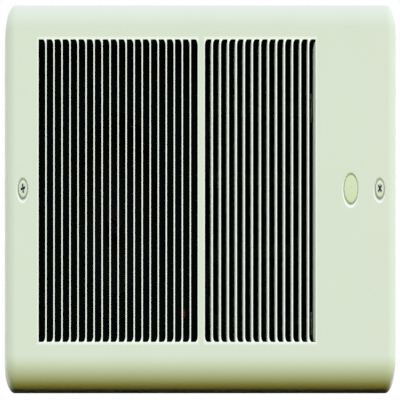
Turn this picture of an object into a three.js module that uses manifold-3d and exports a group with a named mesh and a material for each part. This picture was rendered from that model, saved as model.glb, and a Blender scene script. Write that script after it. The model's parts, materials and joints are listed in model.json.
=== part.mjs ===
// A bathroom wall fan heater: a louvred pressed-steel cover over a wall can that is let into the wall.
// Room air is drawn in through the left grille by a centrifugal blower, blown across a finned
// element and out through the right grille.  Millimetres; x right, y into the wall, z up.  The origin
// lies on the wall's surface, at the middle of the opening.
import * as THREE from "three";
import { mergeVertices } from "three/addons/utils/BufferGeometryUtils.js";
import Module from "manifold-3d";

const wasm = await Module();
wasm.setup();

// ---------------------------------------------------------------- driving dimensions

const gap = 0.3; // between pieces that rest on each other or pass through each other
const past = 1; // how far a cutter runs past the face that it cuts
const weld = 0.5; // how deep one run of a piece is sunk into the next run of the same piece
const roundSides = 20;
const smallSides = 12;
const hexSides = 6;
const inletSides = 32;
const quarterTurn = Math.PI / 2;

// front cover
const coverWidth = 386;
const coverHeight = 177.5;
const coverDepth = 24;
const coverSheet = 1;
const coverRollX = 8.7;
const coverRollZ = 11.3;
const coverRollY = 10;
const coverCornerX = 10;
const coverCornerZ = 12.6;
const coverRollSteps = 4;
const coverCornerSteps = 5;
const coverOverhangX = 21; // how far the cover reaches past the wall can
const coverOverhangZ = 13.75;

// grille: slots whose cut-out is bent back as a louvre flap
const intakeSlots = 20;
const outletSlots = 14;
const grilleLeft = 31.84; // from the cover's left side to the first slot
const grilleRight = 80; // from the last slot to the cover's right side
const grilleTop = 18.15;
const grilleDivider = 7.6;
const slotBar = 1.7;
const slotCorner = 4;
const flapSheet = 0.9;
const flapEndGap = 0.4;
const flapRootX = 0.06; // the flap springs from just inside the slot's cut edge
const flapRootY = 0.25;
const flapBend = THREE.MathUtils.degToRad(83.5);

// cover screws, in pressed dimples, and the row that they and the hole plug lie on
const controlRowZ = 1;
const coverScrewInset = 16.3;
const dimpleRadius = 5.4;
const dimpleDepth = 1;
const screwShank = 2.1;
const screwHead = 4.1;
const screwHeadHeight = 2.3;
const headDome = [[1, 0.45], [0.82, 0.85], [0.45, 1]]; // shares of the head's radius and height
const screwRecessArm = 2.3;
const screwRecessWidth = 1;
const screwRecessDepth = 1.4;
const coverScrewReach = 4;
const leftScrewTurn = Math.PI / 15;
const rightScrewTurn = Math.PI / 4;

// hole plug over the thermostat spindle
const plugInset = 44.9;
const plugRadius = 7.5;
const plugRise = 1.1;
const plugHole = 6.35;
const plugNeck = 5.9;
const plugWall = 1;
const plugLip = 0.35;
const plugNeckLength = 3.4;
const plugDome = [[0.6, 0.9], [0.9, 0.5]]; // shares of the plug's radius and rise

// wall can
const canSheet = 1;
const canClearance = 6.3; // behind the motor
const flangeSide = 12;
const flangeTop = 8;
const canRibHeight = 1;
const canRibWidth = 9;
const canRibInset = 47;
const canRibEdge = 39;
const nailHole = 2.2;
const nailHoleFront = 18;
const nailHoleBack = 17;
const nailHoleEdge = 30;
const tabWidth = 17;
const tabHeight = 14;
const knockoutRadius = 10.9;
const knockoutCut = 0.7;
const knockoutTab = 3;
const knockoutSide = 26;
const knockoutBack = 35;

// clip nuts on the can's side flanges
const clipSheet = 0.6;
const clipHeight = 13;
const clipReach = 13;
const clipBarrel = 3.6;
const clipBarrelLength = 2.4;

// chassis plate, which carries the blower, the element and the controls
const chassisSheet = 1;
const chassisSetback = 2;
const chassisEdgeGap = 0.7;
const chassisScrewInset = 9;
const smallScrewShank = 1.8;
const smallScrewHead = 3.4;
const smallScrewHeadHeight = 1.8;
const smallScrewReach = 7;

// blower
const wheelFront = 8;
const wheelDepth = 32;
const wheelDisc = 1.2;
const wheelRing = 1.6;
const bladeCount = 24;
const bladeChord = 9;
const bladeSheet = 0.9;
const bladeTilt = THREE.MathUtils.degToRad(38);
const hubRadius = 8;
const hubDepth = 15;
const wheelClearance = 5; // to the scroll where it is tightest
const scrollGrowth = 17;
const scrollEdgeGap = 2;
const scrollSheet = 1;
const scrollBehindWheel = 4;
const scrollSteps = 24;
const scrollCutoff = THREE.MathUtils.degToRad(20);
const scrollSweep = THREE.MathUtils.degToRad(290);
const scrollOutletGap = 0.6;
const inletOverlap = 8;
const inletFlange = 12;
const inletSheet = 1;
const inletLip = 2.6;

// motor, behind the scroll
const shaftRadius = 3;
const shaftSides = 16;
const shaftFrontInset = 4;
const bracketSheet = 3;
const bracketWidth = 18;
const bracketFoot = 8.4;
const bracketFootWidth = 9;
const bossRadius = 10;
const bossLength = 8.5;
const bearingRadius = 7;
const bearingLength = 6;
const stackLength = 20;
const stackWidth = 62;
const stackTop = 28;
const stackEdge = 16;
const poleBore = 16.8;
const rotorRadius = 16;
const rotorOverhang = 1;
const windowTop = -21;
const legHeight = 14;
const windowWidth = 38;
const spoolWall = 1.2;
const coilThickness = 8;
const motorBoltInset = 7;
const motorBoltShank = 2;
const motorBoltHead = 3.6;
const motorBoltHeadHeight = 1.9;
const setScrewRadius = 1.6;

// heat box, deflector and element
const heatBoxBeforeGrille = 6.4;
const heatBoxAfterGrille = 2.04;
const heatBoxBehind = 9.7; // left behind the heat box for the leads
const heatBoxSheet = 1;
const heatBoxEdgeGap = 1;
const outletFrame = 4;
const deflectorRadius = 44;
const deflectorSheet = 1;
const deflectorSteps = 8;
const elementY = 26;
const tubeRadius = 4;
const tubeSides = 8;
const legLeftInset = 26.4;
const legRightInset = 27.5;
const legEdge = 22;
const legSteps = [-1.5, -0.5, 0.5, 1.5];
const finCount = 10;
const finSheet = 0.7;
const finDepth = 22;
const finMargin = 11;
const insulatorRadius = 6.6;
const insulatorFlange = 8.6;
const insulatorLength = 7;
const insulatorFlangeSheet = 2;
const terminalRadius = 1.6;
const terminalLength = 9;
const terminalDepth = 4;

// limit switch with its reset button
const limitBeforeHeatBox = 13.6;
const limitEdge = 22;
const limitRadius = 9;
const limitDepth = 12;
const limitNeck = 3.4;
const buttonRadius = 2.2;
const buttonTravel = 1.5;
const buttonProud = 3.5;
const buttonDepth = 6;
const buttonFlange = 3.2;
const buttonFlangeSheet = 1;
const limitPocket = 3; // in front of and behind the hollow that the button's flange slides in
const limitFloor = 2;
const strapSheet = 1;
const strapWidth = 12;
const strapHeight = 30;

// thermostat behind the hole plug
const statWidth = 36;
const statHeight = 44;
const statDepth = 24;
const statNeck = 4.8;
const statNeckLength = 6;
const statBoreDepth = 8;
const spindleRadius = 3;
const spindleTipInset = 6.5;
const spindleSlotWidth = 1;
const spindleSlotDepth = 2;
const statNutRadius = 8;
const statNutHeight = 2.5;
const statBladeWidth = 6.3;
const statBladeSheet = 0.8;
const statBladeLength = 8;
const statBladeSpread = 20;

// cable clamp in the top knockout
const clampShoulder = 13.6;
const clampShoulderHeight = 2.5;
const clampNeck = 10.5;
const clampNeckLength = 6;
const clampBore = 7.6;
const clampEarHeight = 9.6;
const clampEarReach = 9;
const clampOpen = 3;
const saddleSheet = 4.2;
const saddleHeight = 6;
const clampScrewX = 10.4;
const clampScrewShank = 1.5;
const clampScrewHead = 2.85;
const clampBoreInset = 2; // the screws' bores end this far inside the ears
const locknutRadius = 15;
const locknutHeight = 3;
const locknutNotch = 2;
const locknutNotches = 6;

// wiring
const leadRadius = 1.3;
const leadSides = 6;
const leadStep = 13;
const leadBend = 9;
const leadTurn = 9;
const connectorRadius = 6.5;
const connectorTip = 4.2;
const connectorLength = 18;
const connectorDrop = 42;
const connectorSide = [-5, 9]; // from the knockout's centre
const connectorDepth = [-6, 14];
const groundScrewEdge = 34;
const groundScrewHead = 4.2;

// ---------------------------------------------------------------- places worked out from them

const coverFront = -coverDepth;
const coverBack = coverFront + coverSheet;
const coverScrewX = coverWidth / 2 - coverScrewInset;
const plugX = coverWidth / 2 - plugInset;
const dimpleSeat = coverFront + dimpleDepth;
const intakeStart = grilleLeft - coverWidth / 2;
const outletEnd = coverWidth / 2 - grilleRight;
const slotPitch = (outletEnd - intakeStart - grilleDivider + 2 * slotBar) / (intakeSlots + outletSlots);
const slotWidth = slotPitch - slotBar;
const slotHeight = coverHeight - 2 * grilleTop;
const intakeEnd = intakeStart + intakeSlots * slotPitch - slotBar;
const outletStart = intakeEnd + grilleDivider;

const canWidth = coverWidth - 2 * coverOverhangX;
const canHeight = coverHeight - 2 * coverOverhangZ;
const canInnerX = canWidth / 2 - canSheet;
const canInnerZ = canHeight / 2 - canSheet;
const chassisFront = chassisSetback;
const chassisBack = chassisFront + chassisSheet;
const behindChassis = chassisBack + gap;

const blowerX = (intakeStart + intakeEnd) / 2;
const scrollEnd = canInnerZ - scrollEdgeGap;
const scrollStart = scrollEnd - scrollGrowth;
const wheelRadius = scrollStart - wheelClearance;
const wheelBack = wheelFront + wheelDepth;
const inletRadius = wheelRadius - inletOverlap;
const scrollBack = wheelBack + scrollBehindWheel;
const bracketFront = scrollBack + gap;
const stackFront = bracketFront + bracketSheet + bracketFoot + gap;
const stackBack = stackFront + stackLength;
const stackBottom = stackEdge - canInnerZ;
const motorMiddle = (stackFront + stackBack) / 2;
const motorBoltX = stackWidth / 2 - motorBoltInset;
const bracketRear = 2 * motorMiddle - bracketFront;

const canInnerY = bracketRear + canClearance;
const canDepth = canInnerY + canSheet;
const knockoutX = canInnerX - knockoutSide;
const knockoutY = canDepth - knockoutBack;

const heatBoxLeft = outletStart - heatBoxBeforeGrille;
const heatBoxRight = outletEnd + heatBoxAfterGrille;
const heatBoxBack = canInnerY - heatBoxBehind;
const heatBoxHalf = canInnerZ - heatBoxEdgeGap;
const scrollOutletX = heatBoxLeft - scrollOutletGap;
const legLeft = heatBoxLeft + legLeftInset;
const legRight = heatBoxRight - legRightInset;
const legSpacing = (heatBoxHalf - legEdge) / legSteps[legSteps.length - 1];
const legZ = legSteps.map((step) => step * legSpacing);
const endLegZ = [legZ[0], legZ[legZ.length - 1]];
const terminalStart = heatBoxRight + insulatorLength;
const limitX = heatBoxLeft - limitBeforeHeatBox;
const limitZ = limitEdge - canInnerZ;

const statBack = behindChassis + statDepth;
const bladeBack = statBack + gap + statBladeLength;
const connectorX = connectorSide.map((offset) => knockoutX + offset);
const connectorY = connectorDepth.map((offset) => knockoutY + offset);
const connectorZ = canInnerZ - connectorDrop;
const groundScrewZ = groundScrewEdge - canInnerZ;

// ---------------------------------------------------------------- materials

function finish(color, roughness, metalness) {
  return new THREE.MeshStandardMaterial({ color, roughness, metalness });
}

const enamel = finish(0xd8e4d0, 0.45, 0);
const plugPlastic = finish(0xd2e0c0, 0.5, 0);
const zincScrew = finish(0xc9cdc4, 0.3, 1);
const springSteel = finish(0x4a4d50, 0.4, 1);
const galvanised = finish(0xa9b0b3, 0.45, 1);
const blackPaint = finish(0x101111, 0.6, 0);
const blackPlastic = finish(0x161616, 0.5, 0);
const shaftSteel = finish(0x232325, 0.35, 1);
const motorSteel = finish(0x6f7375, 0.4, 1);
const elementSteel = finish(0x181818, 0.5, 1);
const aluminium = finish(0xb9bcbe, 0.4, 1);
const bronze = finish(0xa07a3c, 0.4, 1);
const copperCoil = finish(0xa8571f, 0.45, 1);
const spoolNylon = finish(0xd9d6c6, 0.5, 0);
const ceramic = finish(0xeeeae0, 0.5, 0);
const brass = finish(0xc2a14b, 0.35, 1);
const redPlastic = finish(0xb3231c, 0.4, 0);
const greenZinc = finish(0x3c8a4b, 0.4, 1);
const blackInsulation = finish(0x1a1a1a, 0.6, 0);
const whiteInsulation = finish(0xe8e8e4, 0.6, 0);
const greenInsulation = finish(0x2c8c46, 0.6, 0);
const connectorPlastic = finish(0xd98a2b, 0.5, 0);

// ---------------------------------------------------------------- solids

function signedVolume(positions, index) {
  const a = new THREE.Vector3();
  const b = new THREE.Vector3();
  const c = new THREE.Vector3();
  let sum = 0;
  for (let i = 0; i < index.count; i += 3) {
    a.fromBufferAttribute(positions, index.getX(i));
    b.fromBufferAttribute(positions, index.getX(i + 1));
    c.fromBufferAttribute(positions, index.getX(i + 2));
    sum += a.dot(b.cross(c));
  }
  return sum;
}

// A closed three.js geometry as a manifold solid, turned inside out where its faces look inwards.
function solidOf(geometry) {
  geometry.deleteAttribute("normal");
  geometry.deleteAttribute("uv");
  const merged = mergeVertices(geometry);
  const corners = Uint32Array.from(merged.index.array);
  if (signedVolume(merged.attributes.position, merged.index) < 0) {
    corners.reverse();
  }
  const vertProperties = Float32Array.from(merged.attributes.position.array);
  return new wasm.Manifold(new wasm.Mesh({ numProp: 3, vertProperties, triVerts: corners }));
}

function meshOf(name, solid, material) {
  const { vertProperties, triVerts } = solid.getMesh();
  const geometry = new THREE.BufferGeometry();
  geometry.setAttribute("position", new THREE.BufferAttribute(vertProperties, 3));
  geometry.setIndex(new THREE.BufferAttribute(triVerts, 1));
  geometry.computeVertexNormals();
  const mesh = new THREE.Mesh(geometry, material);
  mesh.name = name;
  return mesh;
}

function block(x0, x1, y0, y1, z0, z1) {
  const geometry = new THREE.BoxGeometry(x1 - x0, y1 - y0, z1 - z0);
  geometry.translate((x0 + x1) / 2, (y0 + y1) / 2, (z0 + z1) / 2);
  return solidOf(geometry);
}

function rodY(x, z, radius, y0, y1, sides = roundSides) {
  const geometry = new THREE.CylinderGeometry(radius, radius, y1 - y0, sides);
  geometry.translate(x, (y0 + y1) / 2, z);
  return solidOf(geometry);
}

function rodX(y, z, radius, x0, x1, sides = roundSides) {
  const geometry = new THREE.CylinderGeometry(radius, radius, x1 - x0, sides);
  geometry.rotateZ(Math.PI / 2);
  geometry.translate((x0 + x1) / 2, y, z);
  return solidOf(geometry);
}

function rodZ(x, y, radius, z0, z1, sides = roundSides) {
  const geometry = new THREE.CylinderGeometry(radius, radius, z1 - z0, sides);
  geometry.rotateX(Math.PI / 2);
  geometry.translate(x, y, (z0 + z1) / 2);
  return solidOf(geometry);
}

// A shape drawn in x and z, with its thickness along y.
function plateY(shape, y0, y1, curveSegments = 3) {
  const geometry = new THREE.ExtrudeGeometry(shape, { depth: y1 - y0, bevelEnabled: false, curveSegments });
  geometry.rotateX(Math.PI / 2);
  geometry.translate(0, y1, 0);
  return solidOf(geometry);
}

// A shape drawn in x and y, with its height along z.
function plateZ(shape, z0, z1, curveSegments = 3) {
  const geometry = new THREE.ExtrudeGeometry(shape, { depth: z1 - z0, bevelEnabled: false, curveSegments });
  geometry.translate(0, 0, z0);
  return solidOf(geometry);
}

// Radius and depth pairs spun about an axis that runs along y.
function spunY(x, z, profile, sides = roundSides) {
  const geometry = new THREE.LatheGeometry(profile.map(([r, y]) => new THREE.Vector2(r, y)), sides);
  geometry.translate(x, 0, z);
  return solidOf(geometry);
}

function polygon(points) {
  return new THREE.Shape(points.map(([u, v]) => new THREE.Vector2(u, v)));
}

function ringShape(outer, inner) {
  const shape = new THREE.Shape();
  shape.absarc(0, 0, outer, 0, 2 * Math.PI, false);
  const hole = new THREE.Path();
  hole.absarc(0, 0, inner, 0, 2 * Math.PI, true);
  shape.holes.push(hole);
  return shape;
}

function crossRecess(x, z, arm, width, y0, y1, turn) {
  const bars = [turn, turn + quarterTurn].map((angle) => {
    const bar = new THREE.BoxGeometry(2 * arm, y1 - y0, width);
    bar.rotateY(angle);
    bar.translate(x, (y0 + y1) / 2, z);
    return solidOf(bar);
  });
  return bars[0].add(bars[1]);
}

// A pan-head screw along y: the head's underside is at seatY and the head is in front of it.
function panScrew(x, z, shank, head, headHeight, seatY, tipY, turn, sides = smallSides) {
  const front = seatY - headHeight;
  const dome = headDome.map(([across, up]) => [head * across, seatY - headHeight * up]);
  const solid = spunY(x, z, [[0, seatY], [head, seatY], ...dome, [0, front]], sides)
    .add(rodY(x, z, shank, seatY - weld, tipY, smallSides));
  const scale = head / screwHead;
  const arm = screwRecessArm * scale;
  const width = screwRecessWidth * scale;
  const depth = screwRecessDepth * scale;
  return solid.subtract(crossRecess(x, z, arm, width, front - past, front + depth, turn));
}

// ---------------------------------------------------------------- front cover

// One closed outline of the pan, pulled in by the rolled edge at the given angle from the front.
function panRing(inset, angle, y) {
  const pull = 1 - Math.sin(angle);
  const radiusX = coverCornerX - inset - (coverRollX - inset) * pull;
  const radiusZ = coverCornerZ - inset - (coverRollZ - inset) * pull;
  const centreX = coverWidth / 2 - coverCornerX;
  const centreZ = coverHeight / 2 - coverCornerZ;
  const quadrants = [[1, 1], [-1, 1], [-1, -1], [1, -1]];
  const ring = [];
  quadrants.forEach(([sideX, sideZ], quadrant) => {
    for (let step = 0; step <= coverCornerSteps; step += 1) {
      const turn = (quadrant + step / coverCornerSteps) * quarterTurn;
      ring.push([sideX * centreX + radiusX * Math.cos(turn), y, sideZ * centreZ + radiusZ * Math.sin(turn)]);
    }
  });
  return ring;
}

// The solid inside the pan's outer or inner surface, from backY to the face.
function panSolid(inset, backY) {
  const front = coverFront + inset;
  const rollY = coverRollY - inset;
  const rings = [panRing(inset, quarterTurn, backY)];
  for (let step = 0; step <= coverRollSteps; step += 1) {
    const angle = (1 - step / coverRollSteps) * quarterTurn;
    rings.push(panRing(inset, angle, front + rollY * (1 - Math.cos(angle))));
  }
  const count = rings[0].length;
  const index = [];
  for (let level = 0; level + 1 < rings.length; level += 1) {
    for (let i = 0; i < count; i += 1) {
      const a = level * count + i;
      const b = level * count + ((i + 1) % count);
      index.push(a, b, a + count, b, b + count, a + count);
    }
  }
  const backCentre = rings.length * count;
  const frontCentre = backCentre + 1;
  const lastRing = (rings.length - 1) * count;
  for (let i = 0; i < count; i += 1) {
    const next = (i + 1) % count;
    index.push(backCentre, next, i, frontCentre, lastRing + i, lastRing + next);
  }
  const positions = [...rings.flat(2), 0, backY, 0, 0, front, 0];
  const geometry = new THREE.BufferGeometry();
  geometry.setAttribute("position", new THREE.Float32BufferAttribute(positions, 3));
  geometry.setIndex(index);
  return solidOf(geometry);
}

// A slot, or the flap cut from it: square at the hinge (x = 0), rounded at the free edge.
function slotOutline(side, endGap) {
  const half = slotHeight / 2 - endGap;
  const free = side * slotWidth;
  const shape = new THREE.Shape();
  shape.moveTo(0, -half);
  shape.lineTo(free - side * slotCorner, -half);
  shape.quadraticCurveTo(free, -half, free, -half + slotCorner);
  shape.lineTo(free, half - slotCorner);
  shape.quadraticCurveTo(free, half, free - side * slotCorner, half);
  shape.lineTo(0, half);
  return shape;
}

// Every slot's hinge line, and which way its free edge lies from it.
function slotPlaces() {
  const places = [];
  for (let i = 0; i < intakeSlots; i += 1) {
    places.push({ hinge: intakeStart + i * slotPitch, side: 1 });
  }
  for (let i = 0; i < outletSlots; i += 1) {
    places.push({ hinge: outletStart + slotWidth + i * slotPitch, side: -1 });
  }
  return places;
}

function louvreFlap({ hinge, side }) {
  const flat = new THREE.ExtrudeGeometry(slotOutline(side, flapEndGap), {
    depth: flapSheet,
    bevelEnabled: false,
    curveSegments: 2,
  });
  flat.rotateX(Math.PI / 2);
  flat.translate(0, flapSheet, 0);
  flat.rotateZ(side * flapBend);
  flat.translate(hinge - side * flapRootX, coverFront + flapRootY, 0);
  return solidOf(flat);
}

function slotCutter({ hinge, side }) {
  const cutter = plateY(slotOutline(side, 0), coverFront - past, coverBack + past);
  return cutter.translate([hinge, 0, 0]);
}

function frontCover() {
  let pan = panSolid(0, 0).subtract(panSolid(coverSheet, past));
  const places = slotPlaces();
  pan = pan.subtract(wasm.Manifold.union(places.map(slotCutter)));
  const dimpleBack = dimpleSeat + coverSheet;
  for (const x of [-coverScrewX, coverScrewX]) {
    pan = pan
      .add(rodY(x, controlRowZ, dimpleRadius + coverSheet, coverBack - weld, dimpleBack))
      .subtract(rodY(x, controlRowZ, dimpleRadius, coverFront - past, dimpleSeat))
      .subtract(rodY(x, controlRowZ, screwShank + gap, coverFront, dimpleBack + past, smallSides));
  }
  pan = pan.subtract(rodY(plugX, controlRowZ, plugHole, coverFront - past, coverBack + past));
  pan = wasm.Manifold.union([pan, ...places.map(louvreFlap)]);
  return meshOf("front_cover", pan, enamel);
}

function holePlug() {
  const under = coverFront - gap;
  const neckEnd = under + plugNeckLength;
  const lipStart = coverBack + gap;
  const profile = [
    [0, under - plugRise],
    ...plugDome.map(([across, up]) => [plugRadius * across, under - plugRise * up]),
    [plugRadius, under],
    [plugNeck, under],
    [plugNeck, lipStart],
    [plugNeck + plugLip, lipStart],
    [plugNeck - plugWall / 2, neckEnd],
    [plugNeck - plugWall, neckEnd],
    [plugNeck - plugWall, under],
    [0, under],
  ];
  return meshOf("hole_plug", spunY(plugX, controlRowZ, profile, shaftSides), plugPlastic);
}

function coverScrew(name, x, turn) {
  const seat = dimpleSeat - gap;
  const size = [screwShank, screwHead, screwHeadHeight];
  return meshOf(name, panScrew(x, controlRowZ, ...size, seat, coverScrewReach, turn, roundSides), zincScrew);
}

// ---------------------------------------------------------------- wall can

function clipNut(name, side) {
  const inner = side * (canWidth / 2 + flangeSide - clipReach);
  const edge = side * (canWidth / 2 + flangeSide + gap);
  const outer = edge + side * clipSheet;
  const low = controlRowZ - clipHeight / 2;
  const high = controlRowZ + clipHeight / 2;
  const leafFront = -canSheet - gap;
  const spread = (from, to, y0, y1) => block(Math.min(from, to), Math.max(from, to), y0, y1, low, high);
  const clipBack = gap + clipSheet;
  const clipFront = leafFront - clipSheet;
  const barrelEnd = clipBack + clipBarrelLength;
  const backInner = side * (canWidth / 2 + gap);
  const x = side * coverScrewX;
  const solid = spread(inner, outer, clipFront, leafFront)
    .add(spread(backInner, outer, gap, clipBack))
    .add(spread(edge, outer, clipFront, clipBack))
    .add(rodY(x, controlRowZ, clipBarrel, clipBack - weld, barrelEnd, smallSides))
    .subtract(rodY(x, controlRowZ, screwShank + gap, clipFront - past, barrelEnd + past, smallSides));
  return meshOf(name, solid, springSteel);
}

// The ring cut that leaves a knockout disc held by two tabs, drawn about the y axis.
function knockoutCutter() {
  const reach = canSheet / 2 + past;
  const half = knockoutTab / 2;
  const high = knockoutRadius + past;
  const ring = plateY(ringShape(knockoutRadius, knockoutRadius - knockoutCut), -reach, reach, smallSides);
  return ring.subtract(block(-half, half, -reach - past, reach + past, -high, high));
}

// The can with the tab in one of its corners that a chassis screw goes into.
function cornerTab(can, side, end) {
  const x = [side * (canInnerX - tabWidth), side * (canInnerX + canSheet / 2)].sort((a, b) => a - b);
  const z = [end * (canInnerZ - tabHeight), end * (canInnerZ + canSheet / 2)].sort((a, b) => a - b);
  const holeX = side * (canInnerX - chassisScrewInset);
  const holeZ = end * (canInnerZ - tabHeight / 2);
  const back = behindChassis + canSheet;
  return can
    .add(block(...x, behindChassis, back, ...z))
    .subtract(rodY(holeX, holeZ, smallScrewShank + gap, behindChassis - past, back + past, smallSides));
}

function wallCan() {
  const outerX = canWidth / 2;
  const outerZ = canHeight / 2;
  const flangeX = outerX + flangeSide;
  const flangeZ = outerZ + flangeTop;
  let can = block(-outerX, outerX, -canSheet, canDepth, -outerZ, outerZ)
    .add(block(-flangeX, flangeX, -canSheet, 0, -flangeZ, flangeZ))
    .subtract(block(-canInnerX, canInnerX, -canSheet - past, canInnerY, -canInnerZ, canInnerZ));
  const ribX = outerX - canRibInset;
  for (const z of [canRibEdge - outerZ, outerZ - canRibEdge]) {
    const low = z - canRibWidth / 2;
    can = can.add(block(-ribX, ribX, canInnerY + weld, canDepth + canRibHeight, low, low + canRibWidth));
  }
  const sideHole = (y, z, radius, side) => {
    const [from, to] = side < 0 ? [-outerX - past, past - canInnerX] : [canInnerX - past, outerX + past];
    return rodX(y, z, radius, from, to, smallSides);
  };
  for (const side of [-1, 1]) {
    const coverHoleX = side * coverScrewX;
    can = can.subtract(rodY(coverHoleX, controlRowZ, screwShank + gap, -canSheet - past, past, smallSides));
    for (const y of [nailHoleFront, canDepth - nailHoleBack]) {
      for (const z of [nailHoleEdge - outerZ, outerZ - nailHoleEdge]) {
        can = can.subtract(sideHole(y, z, nailHole, side));
      }
    }
    for (const end of [-1, 1]) {
      can = cornerTab(can, side, end);
    }
  }
  const disc = knockoutCutter();
  const middle = canSheet / 2;
  can = can
    .subtract(sideHole(knockoutY, groundScrewZ, smallScrewShank + gap, 1))
    .subtract(rodZ(knockoutX, knockoutY, knockoutRadius, canInnerZ - past, outerZ + past))
    .subtract(disc.rotate([90, 0, 0]).translate([knockoutX, knockoutY, -canInnerZ - middle]))
    .subtract(disc.translate([knockoutX, canInnerY + middle, 0]))
    .subtract(disc.rotate([0, 0, 90]).translate([-canInnerX - middle, knockoutY, 0]));
  return meshOf("wall_can", can, galvanised);
}

function cableClamp() {
  const top = canHeight / 2 + gap;
  const shoulderTop = top + clampShoulderHeight;
  const earTop = shoulderTop + clampEarHeight;
  const openY = knockoutY - clampOpen;
  const saddleZ = (shoulderTop + earTop) / 2;
  const seat = openY - gap - saddleSheet;
  const screwXs = [knockoutX - clampScrewX, knockoutX + clampScrewX];
  let body = rodZ(knockoutX, knockoutY, clampShoulder, top, shoulderTop)
    .add(rodZ(knockoutX, knockoutY, clampNeck, top - clampNeckLength, top + weld))
    .add(block(knockoutX - clampShoulder, knockoutX + clampShoulder, openY, knockoutY + clampEarReach,
      shoulderTop - weld, earTop))
    .subtract(rodZ(knockoutX, knockoutY, clampBore, top - clampNeckLength - past, earTop + past));
  let saddle = block(knockoutX - clampShoulder, knockoutX + clampShoulder, seat, seat + saddleSheet,
    saddleZ - saddleHeight / 2, saddleZ + saddleHeight / 2);
  const meshes = [];
  const boreEnd = knockoutY + clampEarReach - clampBoreInset;
  const size = [clampScrewShank, clampScrewHead, smallScrewHeadHeight];
  screwXs.forEach((x, i) => {
    const bore = rodY(x, saddleZ, clampScrewShank + gap, seat - past, boreEnd, smallSides);
    body = body.subtract(bore);
    saddle = saddle.subtract(bore);
    const screw = panScrew(x, saddleZ, ...size, seat - gap, boreEnd - past, i);
    meshes.push(meshOf(`cable_clamp_screw_${i + 1}`, screw, zincScrew));
  });
  const nutTop = canInnerZ - gap;
  let nut = rodZ(knockoutX, knockoutY, locknutRadius, nutTop - locknutHeight, nutTop)
    .subtract(rodZ(knockoutX, knockoutY, clampNeck + gap, nutTop - locknutHeight - past, nutTop + past));
  for (let i = 0; i < locknutNotches; i += 1) {
    const turn = (i / locknutNotches) * 2 * Math.PI;
    const x = knockoutX + locknutRadius * Math.cos(turn);
    const y = knockoutY + locknutRadius * Math.sin(turn);
    nut = nut.subtract(rodZ(x, y, locknutNotch, nutTop - locknutHeight - past, nutTop + past, smallSides));
  }
  meshes.push(meshOf("cable_clamp_body", body, zincScrew));
  meshes.push(meshOf("cable_clamp_saddle", saddle, zincScrew));
  meshes.push(meshOf("cable_clamp_locknut", nut, zincScrew));
  return meshes;
}

// ---------------------------------------------------------------- chassis

function chassisPlate() {
  const halfX = canInnerX - chassisEdgeGap;
  const halfZ = canInnerZ - chassisEdgeGap;
  const windowLeft = heatBoxLeft + outletFrame;
  const windowRight = heatBoxRight - outletFrame;
  const windowHalf = heatBoxHalf - outletFrame;
  const front = chassisFront - past;
  const back = chassisBack + past;
  let plate = block(-halfX, halfX, chassisFront, chassisBack, -halfZ, halfZ)
    .subtract(rodY(blowerX, 0, inletRadius + inletSheet + gap, front, back, inletSides))
    .subtract(block(windowLeft, windowRight, front, back, -windowHalf, windowHalf))
    .subtract(rodY(plugX, controlRowZ, statNeck + gap, front, back, smallSides))
    .subtract(rodY(limitX, limitZ, limitNeck, front, back, smallSides));
  for (const [x, z] of chassisScrewPlaces()) {
    plate = plate.subtract(rodY(x, z, smallScrewShank + gap, front, back, smallSides));
  }
  return meshOf("chassis_plate", plate, blackPaint);
}

function chassisScrewPlaces() {
  const x = canInnerX - chassisScrewInset;
  const z = canInnerZ - tabHeight / 2;
  return [[-x, z], [x, z], [x, -z], [-x, -z]];
}

function chassisScrews() {
  const seat = chassisFront - gap;
  const size = [smallScrewShank, smallScrewHead, smallScrewHeadHeight];
  return chassisScrewPlaces().map(([x, z], i) => {
    const solid = panScrew(x, z, ...size, seat, seat + smallScrewReach, i);
    return meshOf(`chassis_screw_${i + 1}`, solid, zincScrew);
  });
}

// ---------------------------------------------------------------- blower

function inletRing() {
  const front = chassisFront - gap - inletSheet;
  const lipEnd = chassisBack + inletLip;
  const outer = inletRadius + inletSheet;
  const profile = [
    [outer, lipEnd],
    [inletRadius, lipEnd],
    [inletRadius, front + inletSheet],
    [inletRadius + inletSheet, front],
    [inletRadius + inletFlange, front],
    [inletRadius + inletFlange, front + inletSheet],
    [outer, front + inletSheet],
    [outer, lipEnd],
  ];
  return meshOf("inlet_ring", spunY(blowerX, 0, profile, inletSides), blackPaint);
}

// The scroll's outline, widened by the sheet on its outer side, with a straight run to the outlet.
function scrollOutline(widen, outletX) {
  const points = [];
  for (let step = 0; step <= scrollSteps; step += 1) {
    const share = step / scrollSteps;
    const angle = scrollCutoff - scrollSweep * share;
    const radius = scrollStart + (scrollEnd - scrollStart) * share + widen;
    points.push([blowerX + radius * Math.cos(angle), radius * Math.sin(angle)]);
  }
  const cutoffZ = scrollStart * Math.sin(scrollCutoff) - widen;
  points.push([outletX, scrollEnd + widen], [outletX, cutoffZ]);
  points[0][1] = cutoffZ;
  return polygon(points);
}

function scrollHousing() {
  const floor = scrollBack - scrollSheet;
  let housing = plateY(scrollOutline(scrollSheet, scrollOutletX), behindChassis, scrollBack)
    .subtract(plateY(scrollOutline(0, scrollOutletX + past), behindChassis - past, floor))
    .subtract(rodY(blowerX, 0, bossRadius + gap, floor - past, scrollBack + past));
  for (const side of [-1, 1]) {
    const x = blowerX + side * motorBoltX;
    housing = housing.subtract(rodY(x, 0, motorBoltShank + gap, floor - past, scrollBack + past, smallSides));
  }
  return meshOf("scroll_housing", housing, blackPaint);
}

function wheelBlade(i, end) {
  const ringRadius = wheelRadius - bladeChord / 2;
  const from = wheelFront + weld;
  const blank = new THREE.BoxGeometry(bladeChord, end - weld - from, bladeSheet);
  blank.translate(0, (from + end - weld) / 2, 0);
  blank.rotateY(bladeTilt);
  blank.translate(ringRadius, 0, 0);
  blank.rotateY((i / bladeCount) * 2 * Math.PI);
  blank.translate(blowerX, 0, 0);
  return solidOf(blank);
}

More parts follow.
